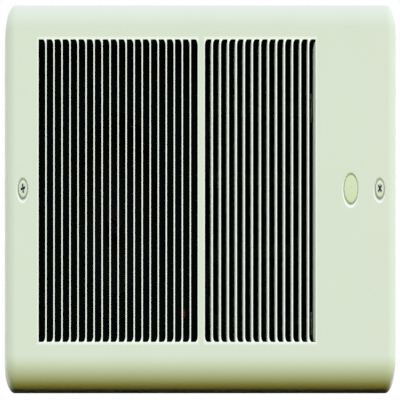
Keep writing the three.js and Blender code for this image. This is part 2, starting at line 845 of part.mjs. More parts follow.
function wheelEndRing(from) {
  return rodY(blowerX, 0, wheelRadius, from, from + wheelRing, bladeCount)
    .subtract(rodY(blowerX, 0, wheelRadius - bladeChord, from - past, from + wheelRing + past, bladeCount));
}

// the cage of blades between two end rings, crimped to the disc behind it
function blowerWheel() {
  const end = wheelBack - wheelDisc - gap;
  const blades = Array.from({ length: bladeCount }, (_, i) => wheelBlade(i, end));
  const cage = wasm.Manifold.union([wheelEndRing(wheelFront), wheelEndRing(end - wheelRing), ...blades]);
  return meshOf("blower_wheel", cage, blackPlastic);
}

function blowerHub() {
  const solid = rodY(blowerX, 0, wheelRadius, wheelBack - wheelDisc, wheelBack, bladeCount)
    .add(rodY(blowerX, 0, hubRadius, wheelBack - hubDepth, wheelBack - weld))
    .subtract(rodY(blowerX, 0, shaftRadius + gap, wheelFront, wheelBack + past, shaftSides))
    .subtract(rodZ(blowerX, setScrewY(), setScrewRadius + gap, 0, hubRadius + past, smallSides));
  return meshOf("blower_hub", solid, blackPlastic);
}

function setScrewY() {
  return wheelBack - hubDepth / 2;
}

function hubSetScrew() {
  const y = setScrewY();
  const solid = rodZ(blowerX, y, setScrewRadius, shaftRadius + gap, hubRadius, smallSides)
    .subtract(rodZ(blowerX, y, setScrewRadius / 2, hubRadius - setScrewRadius, hubRadius + past, hexSides));
  return meshOf("hub_set_screw", solid, shaftSteel);
}

// ---------------------------------------------------------------- motor

function motorShaft() {
  const end = bracketRear - bracketSheet;
  const solid = rodY(blowerX, 0, shaftRadius, wheelBack - hubDepth - shaftFrontInset, end, shaftSides);
  return meshOf("motor_shaft", solid, shaftSteel);
}

function rotorCore() {
  const from = stackFront - rotorOverhang;
  const to = stackBack + rotorOverhang;
  const solid = rodY(blowerX, 0, rotorRadius, from, to)
    .subtract(rodY(blowerX, 0, shaftRadius + gap, from - past, to + past, shaftSides));
  return meshOf("rotor_core", solid, motorSteel);
}

function statorCore() {
  const half = stackWidth / 2;
  const windowHalf = windowWidth / 2;
  const legTop = stackBottom + legHeight;
  const [front, back] = [stackFront - past, stackBack + past];
  let stack = block(blowerX - half, blowerX + half, stackFront, stackBack, stackBottom, stackTop)
    .subtract(rodY(blowerX, 0, poleBore, front, back))
    .subtract(block(blowerX - windowHalf, blowerX + windowHalf, front, back, legTop, windowTop));
  for (const side of [-1, 1]) {
    const x = blowerX + side * motorBoltX;
    stack = stack.subtract(rodY(x, 0, motorBoltShank + gap, front, back, smallSides));
  }
  return meshOf("stator_core", stack, motorSteel);
}

// A block round the stator's lower leg, that far out from it.
function legBlock(halfLength, out) {
  const top = stackBottom + legHeight + out;
  const [left, right] = [blowerX - halfLength, blowerX + halfLength];
  return block(left, right, stackFront - out, stackBack + out, stackBottom - out, top);
}

// A rectangular sleeve round the stator's lower leg.
function sleeve(halfLength, wallIn, wallOut) {
  return legBlock(halfLength, wallOut).subtract(legBlock(halfLength + past, wallIn));
}

function coilSpool() {
  const half = windowWidth / 2 - gap;
  const flangeReach = gap + spoolWall + gap + coilThickness;
  const full = sleeve(half, gap, flangeReach);
  const between = sleeve(half - spoolWall, gap + spoolWall, flangeReach + past);
  return meshOf("coil_spool", full.subtract(between), spoolNylon);
}

function motorCoil() {
  const half = windowWidth / 2 - gap - spoolWall - gap;
  const inner = gap + spoolWall + gap;
  return meshOf("motor_coil", sleeve(half, inner, inner + coilThickness), copperCoil);
}

// The bearing bracket in front of the stator; the rear one is its mirror image.
function bearingBracket() {
  const half = stackWidth / 2;
  const halfZ = bracketWidth / 2;
  const deck = bracketFront + bracketSheet;
  const footEnd = deck + bracketFoot;
  let bracket = block(blowerX - half, blowerX + half, bracketFront, deck, -halfZ, halfZ)
    .add(rodY(blowerX, 0, bossRadius, bracketFront, bracketFront + bossLength));
  for (const side of [-1, 1]) {
    const outer = blowerX + side * half;
    const foot = [outer, outer - side * bracketFootWidth].sort((a, b) => a - b);
    const bolt = blowerX + side * motorBoltX;
    bracket = bracket
      .add(block(...foot, deck - weld, footEnd, -halfZ, halfZ))
      .subtract(rodY(bolt, 0, motorBoltShank + gap, bracketFront - past, footEnd + past, smallSides));
  }
  const pocket = bracketFront + bossLength - bearingLength - gap;
  return bracket
    .subtract(rodY(blowerX, 0, bearingRadius + gap, pocket, bracketFront + bossLength + past))
    .subtract(rodY(blowerX, 0, shaftRadius + 2 * gap, bracketFront - past, pocket + past, shaftSides));
}

function bearing() {
  const end = bracketFront + bossLength;
  const start = end - bearingLength;
  return rodY(blowerX, 0, bearingRadius, start, end)
    .subtract(rodY(blowerX, 0, shaftRadius + gap, start - past, end + past, shaftSides));
}

function mirroredToRear(solid) {
  return solid.mirror([0, 1, 0]).translate([0, 2 * motorMiddle, 0]);
}

function motorBolt(name, side) {
  const x = blowerX + side * motorBoltX;
  const seat = scrollBack - scrollSheet - gap;
  const solid = rodY(x, 0, motorBoltShank, seat - weld, bracketRear + past, smallSides)
    .add(rodY(x, 0, motorBoltHead, seat - motorBoltHeadHeight, seat, hexSides));
  return meshOf(name, solid, zincScrew);
}

function motor() {
  return [
    motorShaft(),
    rotorCore(),
    statorCore(),
    coilSpool(),
    motorCoil(),
    meshOf("front_motor_bracket", bearingBracket(), aluminium),
    meshOf("rear_motor_bracket", mirroredToRear(bearingBracket()), aluminium),
    meshOf("front_bearing", bearing(), bronze),
    meshOf("rear_bearing", mirroredToRear(bearing()), bronze),
    motorBolt("motor_bolt_left", -1),
    motorBolt("motor_bolt_right", 1),
  ];
}

// ---------------------------------------------------------------- heat box and element

function heatBox() {
  const throatLow = scrollStart * Math.sin(scrollCutoff);
  const throatBack = scrollBack - scrollSheet;
  const front = behindChassis - past;
  const [left, right] = [heatBoxLeft + heatBoxSheet, heatBoxRight - heatBoxSheet];
  const half = heatBoxHalf - heatBoxSheet;
  let box = block(heatBoxLeft, heatBoxRight, behindChassis, heatBoxBack, -heatBoxHalf, heatBoxHalf)
    .subtract(block(left, right, front, heatBoxBack - heatBoxSheet, -half, half))
    .subtract(block(heatBoxLeft - past, left + past, front, throatBack, throatLow, half));
  for (const z of endLegZ) {
    box = box.subtract(rodX(elementY, z, insulatorRadius + gap, right - past, heatBoxRight + past));
  }
  return meshOf("heat_box", box, blackPaint);
}

function airDeflector() {
  const wallX = heatBoxRight - heatBoxSheet - gap;
  const wallY = heatBoxBack - heatBoxSheet - gap;
  const centre = [wallX - deflectorRadius, wallY - deflectorRadius];
  const arc = (radius, from, to) => {
    const points = [];
    for (let step = 0; step <= deflectorSteps; step += 1) {
      const turn = from + ((to - from) * step) / deflectorSteps;
      points.push([centre[0] + radius * Math.cos(turn), centre[1] + radius * Math.sin(turn)]);
    }
    return points;
  };
  const outline = [
    ...arc(deflectorRadius, 0, quarterTurn),
    ...arc(deflectorRadius - deflectorSheet, quarterTurn, 0),
  ];
  const half = heatBoxHalf - heatBoxSheet - gap;
  return meshOf("air_deflector", plateZ(polygon(outline), -half, half), blackPaint);
}

// The half-round bend that joins two legs of the element, bulging to the given side.
function tubeBend(x, z, side) {
  const bendRadius = legSpacing / 2;
  const ring = new THREE.TorusGeometry(bendRadius, tubeRadius, tubeSides, roundSides);
  ring.rotateX(Math.PI / 2);
  ring.translate(x, elementY, z);
  const reach = bendRadius + 2 * tubeRadius;
  const [from, to] = side < 0 ? [x - reach, x] : [x, x + reach];
  const half = block(from, to, elementY - reach, elementY + reach, z - reach, z + reach);
  return solidOf(ring).intersect(half);
}

function heatingElement() {
  const legs = legZ.map((z, i) => {
    const outer = i === 0 || i === legZ.length - 1;
    const right = outer ? terminalStart : legRight + weld;
    return rodX(elementY, z, tubeRadius, legLeft - weld, right, tubeSides);
  });
  const bends = [
    tubeBend(legLeft, (legZ[0] + legZ[1]) / 2, -1),
    tubeBend(legRight, 0, 1),
    tubeBend(legLeft, (legZ[2] + legZ[3]) / 2, -1),
  ];
  const finFront = elementY - finDepth / 2;
  const half = endLegZ[1] + finMargin;
  const fins = Array.from({ length: finCount }, (_, i) => {
    const left = legLeft + ((legRight - legLeft) * (i + 0.5)) / finCount - finSheet / 2;
    return block(left, left + finSheet, finFront, finFront + finDepth, -half, half);
  });
  let element = wasm.Manifold.union([...legs, ...bends, ...fins]);
  const pocket = [terminalStart - terminalDepth, terminalStart + past];
  for (const z of endLegZ) {
    element = element.subtract(rodX(elementY, z, terminalRadius + gap, ...pocket, smallSides));
  }
  return meshOf("heating_element", element, elementSteel);
}

function elementEnds() {
  return ["lower", "upper"].flatMap((place, end) => {
    const z = endLegZ[end];
    const wall = heatBoxRight + gap;
    const start = heatBoxRight - insulatorLength / 2;
    const bush = rodX(elementY, z, insulatorRadius, start, wall + insulatorFlangeSheet)
      .add(rodX(elementY, z, insulatorFlange, wall, wall + insulatorFlangeSheet))
      .subtract(rodX(elementY, z, tubeRadius + gap, start - past, wall + insulatorFlangeSheet + past));
    const from = terminalStart - terminalDepth + gap;
    const pin = rodX(elementY, z, terminalRadius, from, terminalStart + terminalLength, smallSides);
    return [
      meshOf(`terminal_insulator_${place}`, bush, ceramic),
      meshOf(`element_terminal_${place}`, pin, brass),
    ];
  });
}

// ---------------------------------------------------------------- limit switch

function limitSwitch() {
  const bodyBack = behindChassis + limitDepth;
  const pocketFront = behindChassis + limitPocket;
  const pocketBack = bodyBack - limitFloor;
  const body = rodY(limitX, limitZ, limitRadius, behindChassis, bodyBack)
    .subtract(rodY(limitX, limitZ, buttonRadius + gap, behindChassis - past, pocketBack, smallSides))
    .subtract(rodY(limitX, limitZ, buttonFlange + gap, pocketFront, pocketBack, smallSides));
  const tip = chassisFront - buttonProud;
  const flangeFront = pocketFront + gap;
  const button = rodY(limitX, limitZ, buttonRadius, tip, flangeFront + buttonDepth - buttonTravel, smallSides)
    .add(rodY(limitX, limitZ, buttonFlange, flangeFront, flangeFront + buttonFlangeSheet, smallSides));
  return [
    meshOf("limit_switch", body, ceramic),
    meshOf("reset_button", button, redPlastic),
    meshOf("limit_strap", limitStrap(bodyBack + gap), galvanised),
  ];
}

// The strap that clamps the switch to the chassis: a hat section with two feet.
function limitStrap(inside) {
  const [left, right] = [limitX - strapWidth / 2, limitX + strapWidth / 2];
  const inner = limitRadius + gap;
  const outer = inner + strapSheet;
  const foot = strapHeight / 2;
  return block(left, right, behindChassis, behindChassis + strapSheet, limitZ - foot, limitZ + foot)
    .add(block(left, right, behindChassis, inside + strapSheet, limitZ - outer, limitZ + outer))
    .subtract(block(left - past, right + past, behindChassis - past, inside, limitZ - inner, limitZ + inner));
}

// ---------------------------------------------------------------- thermostat

function thermostat() {
  const z = controlRowZ;
  const neckTip = behindChassis - statNeckLength;
  const boreEnd = behindChassis + statBoreDepth;
  const halfX = statWidth / 2;
  const halfZ = statHeight / 2;
  const body = block(plugX - halfX, plugX + halfX, behindChassis, statBack, z - halfZ, z + halfZ)
    .add(rodY(plugX, z, statNeck, neckTip, behindChassis + weld))
    .subtract(rodY(plugX, z, spindleRadius + gap, neckTip - past, boreEnd, shaftSides));
  const nutBack = chassisFront - gap;
  const nut = rodY(plugX, z, statNutRadius, nutBack - statNutHeight, nutBack, hexSides)
    .subtract(rodY(plugX, z, statNeck + gap, nutBack - statNutHeight - past, nutBack + past));
  const tip = coverFront + spindleTipInset;
  const reach = spindleRadius + past;
  const low = z - spindleSlotWidth / 2;
  const high = z + spindleSlotWidth / 2;
  const spindle = rodY(plugX, z, spindleRadius, tip, boreEnd - gap, shaftSides)
    .subtract(block(plugX - reach, plugX + reach, tip - past, tip + spindleSlotDepth, low, high));
  const blades = bladePlaces().map((x, i) => {
    const left = x - statBladeSheet / 2;
    const half = statBladeWidth / 2;
    const tab = block(left, left + statBladeSheet, statBack + gap, bladeBack, z - half, z + half);
    return meshOf(`thermostat_blade_${i + 1}`, tab, brass);
  });
  return [
    meshOf("thermostat_body", body, blackPlastic),
    meshOf("thermostat_nut", nut, zincScrew),
    meshOf("thermostat_spindle", spindle, brass),
    ...blades,
  ];
}

function bladePlaces() {
  return [plugX - statBladeSpread / 2, plugX + statBladeSpread / 2];
}

// ---------------------------------------------------------------- wiring

// Straight runs through the given points, with each corner rounded.
function roundedRoute(points) {
  const corners = points.map((point) => new THREE.Vector3(...point));
  const path = new THREE.CurvePath();
  let from = corners[0];
  for (let i = 1; i + 1 < corners.length; i += 1) {
    const before = corners[i].distanceTo(corners[i - 1]);
    const after = corners[i].distanceTo(corners[i + 1]);
    const bend = Math.min(leadBend, before / 2, after / 2);
    const start = corners[i].clone().lerp(corners[i - 1], bend / before);
    const end = corners[i].clone().lerp(corners[i + 1], bend / after);
    path.add(new THREE.LineCurve3(from, start));
    path.add(new THREE.QuadraticBezierCurve3(start, corners[i], end));
    from = end;
  }
  path.add(new THREE.LineCurve3(from, corners[corners.length - 1]));
  return path;
}

function lead(name, points, material) {
  const path = roundedRoute(points);
  const section = new THREE.Shape();
  section.absarc(0, 0, leadRadius, 0, 2 * Math.PI, false);
  const geometry = new THREE.ExtrudeGeometry(section, {
    steps: Math.max(leadSides, Math.round(path.getLength() / leadStep)),
    extrudePath: path,
    curveSegments: leadSides / 2,
  });
  return meshOf(name, solidOf(geometry), material);
}

function wireConnectors() {
  return connectorX.map((x, i) => {
    const geometry = new THREE.CylinderGeometry(connectorTip, connectorRadius, connectorLength, smallSides);
    geometry.rotateX(Math.PI / 2);
    geometry.translate(x, connectorY[i], connectorZ + connectorLength / 2);
    return meshOf(`wire_connector_${i + 1}`, solidOf(geometry), connectorPlastic);
  });
}

function wiring() {
  const [bladeA, bladeB] = bladePlaces();
  const [connA, connB] = connectorX;
  const [depthA, depthB] = connectorY;
  const under = connectorZ - gap;
  const spread = connectorRadius / 2;
  const z = controlRowZ;
  const run = (heatBoxBack + canInnerY) / 2;
  const terminalEnd = terminalStart + terminalLength + gap;
  const coilEnd = stackBack + gap + spoolWall + gap + coilThickness;
  const strapBack = behindChassis + limitDepth + gap + strapSheet;
  const compartment = heatBoxRight + leadTurn;
  const groundHead = canInnerX - gap - smallScrewHeadHeight - groundScrewHead / 2;
  const coilZ = stackBottom + legHeight / 2;
  return [
    lead("supply_lead_black", [
      [bladeA, bladeBack + gap, z],
      [bladeA, depthA, z],
      [connA - spread, depthA, z + leadTurn],
      [connA - spread, depthA, under],
    ], blackInsulation),
    lead("supply_lead_white", [
      [terminalEnd, elementY, legZ[3]],
      [terminalEnd + leadTurn, elementY, legZ[3]],
      [connB + spread, depthB - 2 * leadTurn, z + 2 * leadTurn],
      [connB + spread, depthB, z + leadTurn],
      [connB + spread, depthB, under],
    ], whiteInsulation),
    lead("ground_lead", [
      [groundHead - gap, knockoutY, groundScrewZ],
      [groundHead - leadTurn / 2, knockoutY, groundScrewZ],
      [groundHead - leadTurn / 2, knockoutY, connectorZ],
      [knockoutX, knockoutY, canInnerZ - 2 * leadTurn],
      [knockoutX, knockoutY, canInnerZ - clampNeckLength - locknutHeight],
    ], greenInsulation),
    lead("motor_lead_black", [
      [blowerX + windowWidth / 4, coilEnd + gap, coilZ],
      [blowerX + windowWidth / 4, run, coilZ],
      [compartment, run, coilZ + leadTurn],
      [connA + spread, run, coilZ + 2 * leadTurn],
      [connA + spread, depthA, z],
      [connA + spread, depthA, under],
    ], blackInsulation),
    lead("motor_lead_white", [
      [blowerX - windowWidth / 4, coilEnd + gap, coilZ],
      [blowerX - windowWidth / 4, run, coilZ],
      [blowerX, run, coilZ + 2 * leadTurn],
      [compartment, run, coilZ + 2 * leadTurn],
      [connB - spread, run, coilZ + 3 * leadTurn],
      [connB - spread, depthB, z],
      [connB - spread, depthB, under],
    ], whiteInsulation),
    lead("limit_lead_supply", [
      [limitX + limitRadius / 2, strapBack + gap, limitZ],
      [limitX + limitRadius / 2, run, limitZ],
      [compartment, run, limitZ],
      [bladeB, run, limitZ + leadTurn],
      [bladeB, depthA, z - leadTurn],
      [bladeB, bladeBack + leadTurn, z],
      [bladeB, bladeBack + gap, z],
    ], blackInsulation),
    lead("limit_lead_element", [
      [limitX - limitRadius / 2, strapBack + gap, limitZ],
      [limitX - limitRadius / 2, run, limitZ],
      [limitX + leadTurn, run, limitZ - leadTurn],
      [compartment, run, limitZ - leadTurn],
      [terminalEnd + 2 * leadTurn, depthA, limitZ - leadTurn],
      [terminalEnd + leadTurn, elementY, legZ[0]],
      [terminalEnd, elementY, legZ[0]],
    ], blackInsulation),
    ...wireConnectors(),
  ];
}

function groundScrew() {
  const seat = canInnerX - gap;
  const head = seat - smallScrewHeadHeight - groundScrewHead / 2;
  const tip = seat + smallScrewReach;
  const solid = rodX(knockoutY, groundScrewZ, smallScrewShank, seat - weld, tip, smallSides)
    .add(rodX(knockoutY, groundScrewZ, groundScrewHead, head, seat, hexSides));
  return meshOf("ground_screw", solid, greenZinc);
}

// ---------------------------------------------------------------- the whole heater

const heater = new THREE.Group();
heater.name = "wall_fan_heater";
heater.add(
  frontCover(),
  holePlug(),
  coverScrew("cover_screw_left", -coverScrewX, leftScrewTurn),
  coverScrew("cover_screw_right", coverScrewX, rightScrewTurn),
  wallCan(),
  clipNut("clip_nut_left", -1),
  clipNut("clip_nut_right", 1),
  ...cableClamp(),
  chassisPlate(),
  ...chassisScrews(),
  inletRing(),
  scrollHousing(),
  blowerWheel(),
  blowerHub(),
  hubSetScrew(),
  ...motor(),
  heatBox(),
  airDeflector(),
  heatingElement(),
  ...elementEnds(),
  ...limitSwitch(),
  ...thermostat(),
  ...wiring(),
  groundScrew(),
);

export default heater;
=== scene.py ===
"""The looks of the bathroom wall fan heater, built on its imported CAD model.

Lengths are in millimetres and are turned into metres where a mesh, a light or the camera is made. X is
to the right, Y into the wall and Z up, with the origin on the wall's surface at the middle of the opening.
"""

import json
import math

import bmesh
import bpy
from mathutils import Matrix, Vector, geometry


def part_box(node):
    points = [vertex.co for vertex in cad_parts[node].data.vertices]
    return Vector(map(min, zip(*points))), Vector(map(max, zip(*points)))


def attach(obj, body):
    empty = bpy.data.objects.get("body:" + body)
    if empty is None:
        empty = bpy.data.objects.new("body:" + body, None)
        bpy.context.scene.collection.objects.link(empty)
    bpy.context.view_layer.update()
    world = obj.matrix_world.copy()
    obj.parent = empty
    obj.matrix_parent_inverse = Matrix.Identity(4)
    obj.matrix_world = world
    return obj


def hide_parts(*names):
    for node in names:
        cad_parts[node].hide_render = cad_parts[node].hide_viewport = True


MM = 0.001
QUARTER = math.pi / 2

# ------------------------------------------------------------ sizes of the front cover

COVER_WIDTH = 386
COVER_HEIGHT = 177.5
COVER_DEPTH = 24
SHEET = 1
ROLL_X, ROLL_Z, ROLL_Y = 8.7, 11.3, 10  # how far the rolled edge reaches across, up and back
CORNER_X, CORNER_Z = 10, 12.6
ROLL_STEPS = 14
CORNER_STEPS = 14
RIM_EASE = 0.3

INTAKE_SLOTS = 20
OUTLET_SLOTS = 14
GRILLE_LEFT = 31.84
GRILLE_RIGHT = 80
GRILLE_TOP = 18.15
DIVIDER = 7.6
BAR = 1.7
INTAKE_TRIM = 0.35  # how far a slot's free edge is cut back past its nominal place
OUTLET_TRIM = 0.05
SLOT_CORNER = 2.8
SLOT_CORNER_STEPS = 8
HINGE_CORNER = 0.4
HINGE_CORNER_STEPS = 3
SLOT_EDGE = 0.2  # how far a slot's edges are softened
HINGE_EDGE = 0.5
EDGE_STEPS = 4
UNSHADED_STEP = 1  # the last of those steps without painted shade
# painted shade on a slot's wall near its hinge, where no steel is cut
HINGE_SHADE = 0.3
SECTION_MARGIN = 1.7

FLAP_SHEET = 0.9
FLAP_CORNER = 4
FLAP_CORNER_STEPS = 8
FLAP_STRAIGHT_STEPS = 3
FLAP_ROOT = 0.2  # how far a flap reaches into the sheet at its hinge
FLAP_END_GAP = 0.8
FLAP_WEAR = 0.3
INTAKE_BEND = math.radians(88)
OUTLET_BEND = math.radians(83.5)
LAST_BEND = math.radians(70)  # the outlet's last flap is bent less than the others

# ------------------------------------------------------------ sizes of the dishes, screws, plug and trim

ROW_Z = 1
DISH_STEPS = 8
DISH_LEAN = (-0.4, -0.85)  # how far a dish's mouth lies off its floor, across and up
DISH_SHADE = 0.5  # painted shade at the foot of a dish's wall
DISH_UNSHADED = 7 / 12  # the share of a dish's wall that has no painted shade
# painted shade on a dish's floor
FLOOR_SHADE = 0.6
SEAT_GAP = 0.05  # between a dish's floor and what sits in it
TURNED_EASE = 0.1  # how far the hidden edges of the screws and the plug are eased

SCREW_X = COVER_WIDTH / 2 - 16.3
SCREW_TURNS = {"left": math.pi / 15, "right": math.pi / 4}
SCREW_HEAD = 4
SCREW_PROUD = 0.1
SCREW_SHANK = 2.1
SCREW_HOLE = SCREW_SHANK + 0.3
SCREW_TIP = 4  # its place behind the wall's surface
SCREW_CROWN = ((0.95, 0), (0.4, 0.06), (0.1, 0.22), (0, 0.5))  # inset from the head's radius, and drop
THREAD_START = 0.4
THREAD_PITCH = 1.2
THREAD_DEPTH = 0.35
THREAD_ROWS = 6
THREAD_WEAR = 0.5
RECESS_ARM = 2.1
RECESS_HALF = 0.55
RECESS_DEPTH = 1.5
RECESS_LIP = (0.1, 0.06, 0.15)  # how far the arms and their halves narrow, and at what depth
RECESS_SHADE = 0.3  # painted shade at its mouth
DIMPLE = (6.2, 4.5, 1.6)  # radius of the mouth and of the floor, and depth

PLUG_X = COVER_WIDTH / 2 - 44.9
PLUG_DISH = (8.5, 6.9, 1.3)
PLUG_HOLE = 6.25
PLUG_RADIUS = 6.65
PLUG_SUNK = 0.2
PLUG_GATE = ((0, 0.12), (0.7, 0.1), (0.9, 0))  # radius and drop of the moulding mark at the middle
PLUG_CROWN = ((1.1, 0.02), (0.55, 0.12), (0.2, 0.32), (0, 0.75))  # inset from the radius, and drop
PLUG_NECK = 5.9
PLUG_TAPER = 0.4
PLUG_WALL = 1
PLUG_CHAMFER = 0.3  # at the bottom of its hollow
PLUG_REACH = 2.4  # how far the neck goes on behind the sheet
SNAP_GAP = 0.1  # between the sheet and the snap ring
SNAP_HEIGHT = 0.35
SNAP_START = 0.1  # where the snap ring has its full height, and where it begins to taper off
SNAP_END = 0.5

CAN_MOUTH = 74  # half the can's clear height
GASKET_HALF = 181
GASKET_FRONT = -4.2
GASKET_BACK = -1.35
GASKET_FOLD = 2.9  # how far it goes back inside the can
GASKET_FOLD_HALF = 170  # the fold ends just short of the can's sides
GASKET_INSIDE = 1.1  # how far it hangs into the can's mouth
GASKET_OUTSIDE = 8.3
GASKET_SOFT = 0.5
GASKET_GAP = 0.25
GASKET_STEPS = 60
GASKET_WAVES = ((0.12, 2.1), (0.08, 0.7))  # the foam's unevenness: height, and turn at each step

BUTTON_RADIUS = 2.2
BUSHING_GAP = 0.2
BUSHING_WALL = 0.85
BUSHING_FLANGE = 0.8
BUSHING_FRONT = 0.7  # how far it stands before the chassis, and how far it goes through it
BUSHING_BACK = 1.1
BUSHING_MOUTH = (0.15, 0.3)  # how far its inner and outer front edges are eased, across and back
BUSHING_RIM = (0.3, 0.2)
CHASSIS_GAP = 0.1

ROUND_SIDES = 64
EDGE_EASE = 0.2  # how far the edges of the CAD pieces are eased
SMOOTH_BELOW = math.radians(40)  # the CAD pieces shade smooth across edges flatter than this
PRESSED_SMOOTH_BELOW = math.radians(35)
FOAM_SMOOTH_BELOW = math.radians(60)
MERGE_WITHIN = 0.0001  # points this close become one
AREA_WEIGHT = 100  # out of 100, so that large faces sway the shading most

FACE = -COVER_DEPTH
FACE_BACK = FACE + SHEET
SLOT_START = GRILLE_LEFT - COVER_WIDTH / 2
SLOT_END = COVER_WIDTH / 2 - GRILLE_RIGHT
PITCH = (SLOT_END - SLOT_START - DIVIDER + 2 * BAR) / (INTAKE_SLOTS + OUTLET_SLOTS)
SLOT_WIDTH = PITCH - BAR
SLOT_HALF = COVER_HEIGHT / 2 - GRILLE_TOP
INTAKE_END = SLOT_START + INTAKE_SLOTS * PITCH - BAR
FORWARD = Vector((0, -1, 0))
BACKWARD = Vector((0, 1, 0))

# ------------------------------------------------------------ the photograph's view, light and stage

PIXELS = 400
PIXELS_PER_MM = 1.0101
STRETCH = 2.12  # the photograph is stretched upwards
VIEW_FROM_LEFT = math.radians(4)
VIEW_FROM_BELOW = math.radians(14)
VIEW_CENTRE = (-1.4, FACE, -4.4)
CAMERA_DISTANCE = 600
FLOOR_Z = -330
FLOOR_REACH = 6000

# the studio's light in front of the wall and behind it, by the height of the direction that it comes from:
# -1 is straight below and 1 is straight above
FRONT_LIGHT = (
    (-1.0, (0.0, 0.0, 0.0)),
    (-0.6, (0.48, 0.31, 0.0)),
    (-0.3, (1.06, 1.02, 0.04)),
    (0.0, (1.36, 1.48, 1.30)),
    (0.3, (1.47, 1.62, 2.05)),
    (0.6, (1.28, 1.27, 1.69)),
    (1.0, (1.01, 0.72, 0.54)),
)
BACK_LIGHT = (
    (-1.0, (0.0, 0.0, 0.0)),
    (-0.6, (0.10, 0.08, 0.04)),
    (-0.3, (0.42, 0.40, 0.30)),
    (0.0, (1.05, 1.07, 1.05)),
    (0.3, (1.35, 1.38, 1.45)),
    (0.6, (1.22, 1.22, 1.30)),
    (1.0, (1.01, 0.85, 0.75)),
)
LIGHT_TURN = 0.2  # how far on each side of the wall's plane the two blend
LEFT_LIGHT = 0.75  # the light's strength from the left and from the right
RIGHT_LIGHT = 1.2
WALL_CARD_Y = 1.5
WALL_CARD_OVERLAP = 0.5
WALL_CARD_HEIGHT = 4.5
FLAG_DROP = 1.9  # below the cover
FLAG_FRONT = -10
FLAG_BACK = 16


def make_camera():
    """An orthographic camera with a sheared up axis, which stretches the picture as the photograph is."""
    forward = Vector((math.tan(VIEW_FROM_LEFT), 1, math.tan(VIEW_FROM_BELOW))).normalized()
    rise = forward.z - math.sqrt(forward.z**2 + STRETCH**2 - 1)
    up = (Vector((0, 0, 1)) - rise * forward).normalized()
    place = Matrix((Vector((1, 0, 0)), up, -forward)).transposed().to_4x4()
    place.translation = (Vector(VIEW_CENTRE) - forward * CAMERA_DISTANCE) * MM
    helper = bpy.data.objects.new("camera_helper", None)
    camera = bpy.data.objects.new("camera", bpy.data.cameras.new("camera"))
    for thing in (helper, camera):
        bpy.context.collection.objects.link(thing)
    camera.data.type = "ORTHO"
    camera.data.ortho_scale = PIXELS / PIXELS_PER_MM * MM
    camera.parent = helper
    camera.matrix_parent_inverse = place
    bpy.context.scene.camera = camera


# ------------------------------------------------------------ procedural finishes


WAVE_SCALE = 0.314  # a tenth of pi, at which the wave texture repeats once a unit
MIX_FIRST, MIX_SECOND, MIX_RESULT = 6, 7, 2  # the colour sockets of a Mix node


def ranged(tree, value, low, high, start, end):
    """The value mapped from its start and end to low and high."""
    made = tree.nodes.new("ShaderNodeMapRange")
    for key, number in (("From Min", start), ("From Max", end), ("To Min", low), ("To Max", high)):
        made.inputs[key].default_value = number
    tree.links.new(value, made.inputs["Value"])
    return made.outputs["Result"]


def mixed(tree, factor, first, second):
    """A colour between two colours, each a tuple or a socket."""
    made = tree.nodes.new("ShaderNodeMix")
    made.data_type = "RGBA"
    tree.links.new(factor, made.inputs["Factor"])
    for key, colour in ((MIX_FIRST, first), (MIX_SECOND, second)):
        if isinstance(colour, tuple):
            made.inputs[key].default_value = (*colour, 1)
        else:
            tree.links.new(colour, made.inputs[key])
    return made.outputs[MIX_RESULT]


class Finish:
    """A node material that is put together step by step in object coordinates."""

    def __init__(self, name, roughness, metallic=0.0, specular=0.5, coat=0.0):
        self.material = bpy.data.materials.new(name)
        self.material.use_nodes = True
        self.tree = self.material.node_tree
        self.shader = self.tree.nodes["Principled BSDF"]
        sockets = (
            ("Metallic", metallic),
            ("Roughness", roughness),
            ("Specular IOR Level", specular),
            ("Coat Weight", coat),
        )
        for key, value in sockets:
            self.shader.inputs[key].default_value = value
        self.place = self.node("ShaderNodeTexCoord").outputs["Object"]

    def node(self, kind, **settings):
        made = self.tree.nodes.new(kind)
        for key, value in settings.items():
            setattr(made, key, value)
        return made

    def link(self, source, target):
        self.tree.links.new(source, target)

    def scaled(self, factors):
        """The object's coordinates, in millimetres, stretched by the factors."""
        mapping = self.node("ShaderNodeMapping")
        mapping.inputs["Scale"].default_value = [factor / MM for factor in factors]
        self.link(self.place, mapping.inputs["Vector"])
        return mapping.outputs["Vector"]

    def noise(self, size, detail=3, stretch=(1, 1, 1)):
        """Cloudy noise with features about size millimetres across."""
        made = self.node("ShaderNodeTexNoise")
        made.inputs["Scale"].default_value = 1
        made.inputs["Detail"].default_value = detail
        self.link(self.scaled([factor / size for factor in stretch]), made.inputs["Vector"])
        return made.outputs["Fac"]

    def cells(self, size, output="Color", stretch=(1, 1, 1)):
        """Angular cells about size millimetres across."""
        made = self.node("ShaderNodeTexVoronoi")
        made.inputs["Scale"].default_value = 1
        self.link(self.scaled([factor / size for factor in stretch]), made.inputs["Vector"])
        return made.outputs[output]

    def waves(self, size, axis, distortion):
        """Parallel ridges size millimetres apart along the axis."""
        made = self.node("ShaderNodeTexWave", bands_direction=axis)
        made.inputs["Scale"].default_value = WAVE_SCALE
        made.inputs["Distortion"].default_value = distortion
        self.link(self.scaled([1 / size] * 3), made.inputs["Vector"])
        return made.outputs["Fac"]

    def spread(self, value, low, high, start=0.3, end=0.7):
        """The value mapped from start and end, which most of a noise lies between, to low and high."""
        return ranged(self.tree, value, low, high, start, end)

    def mix(self, factor, first, second):
        return mixed(self.tree, factor, first, second)

    def attribute(self, name):
        return self.node("ShaderNodeAttribute", attribute_name=name).outputs["Fac"]

    def colour(self, socket):
        self.link(socket, self.shader.inputs["Base Color"])

    def roughness(self, socket):
        self.link(socket, self.shader.inputs["Roughness"])

    def bump(self, height, depth, strength):
        """A relief of the given depth in millimetres."""
        made = self.node("ShaderNodeBump")
        made.inputs["Strength"].default_value = strength
        made.inputs["Distance"].default_value = depth * MM
        self.link(height, made.inputs["Height"])
        self.link(made.outputs["Normal"], self.shader.inputs["Normal"])


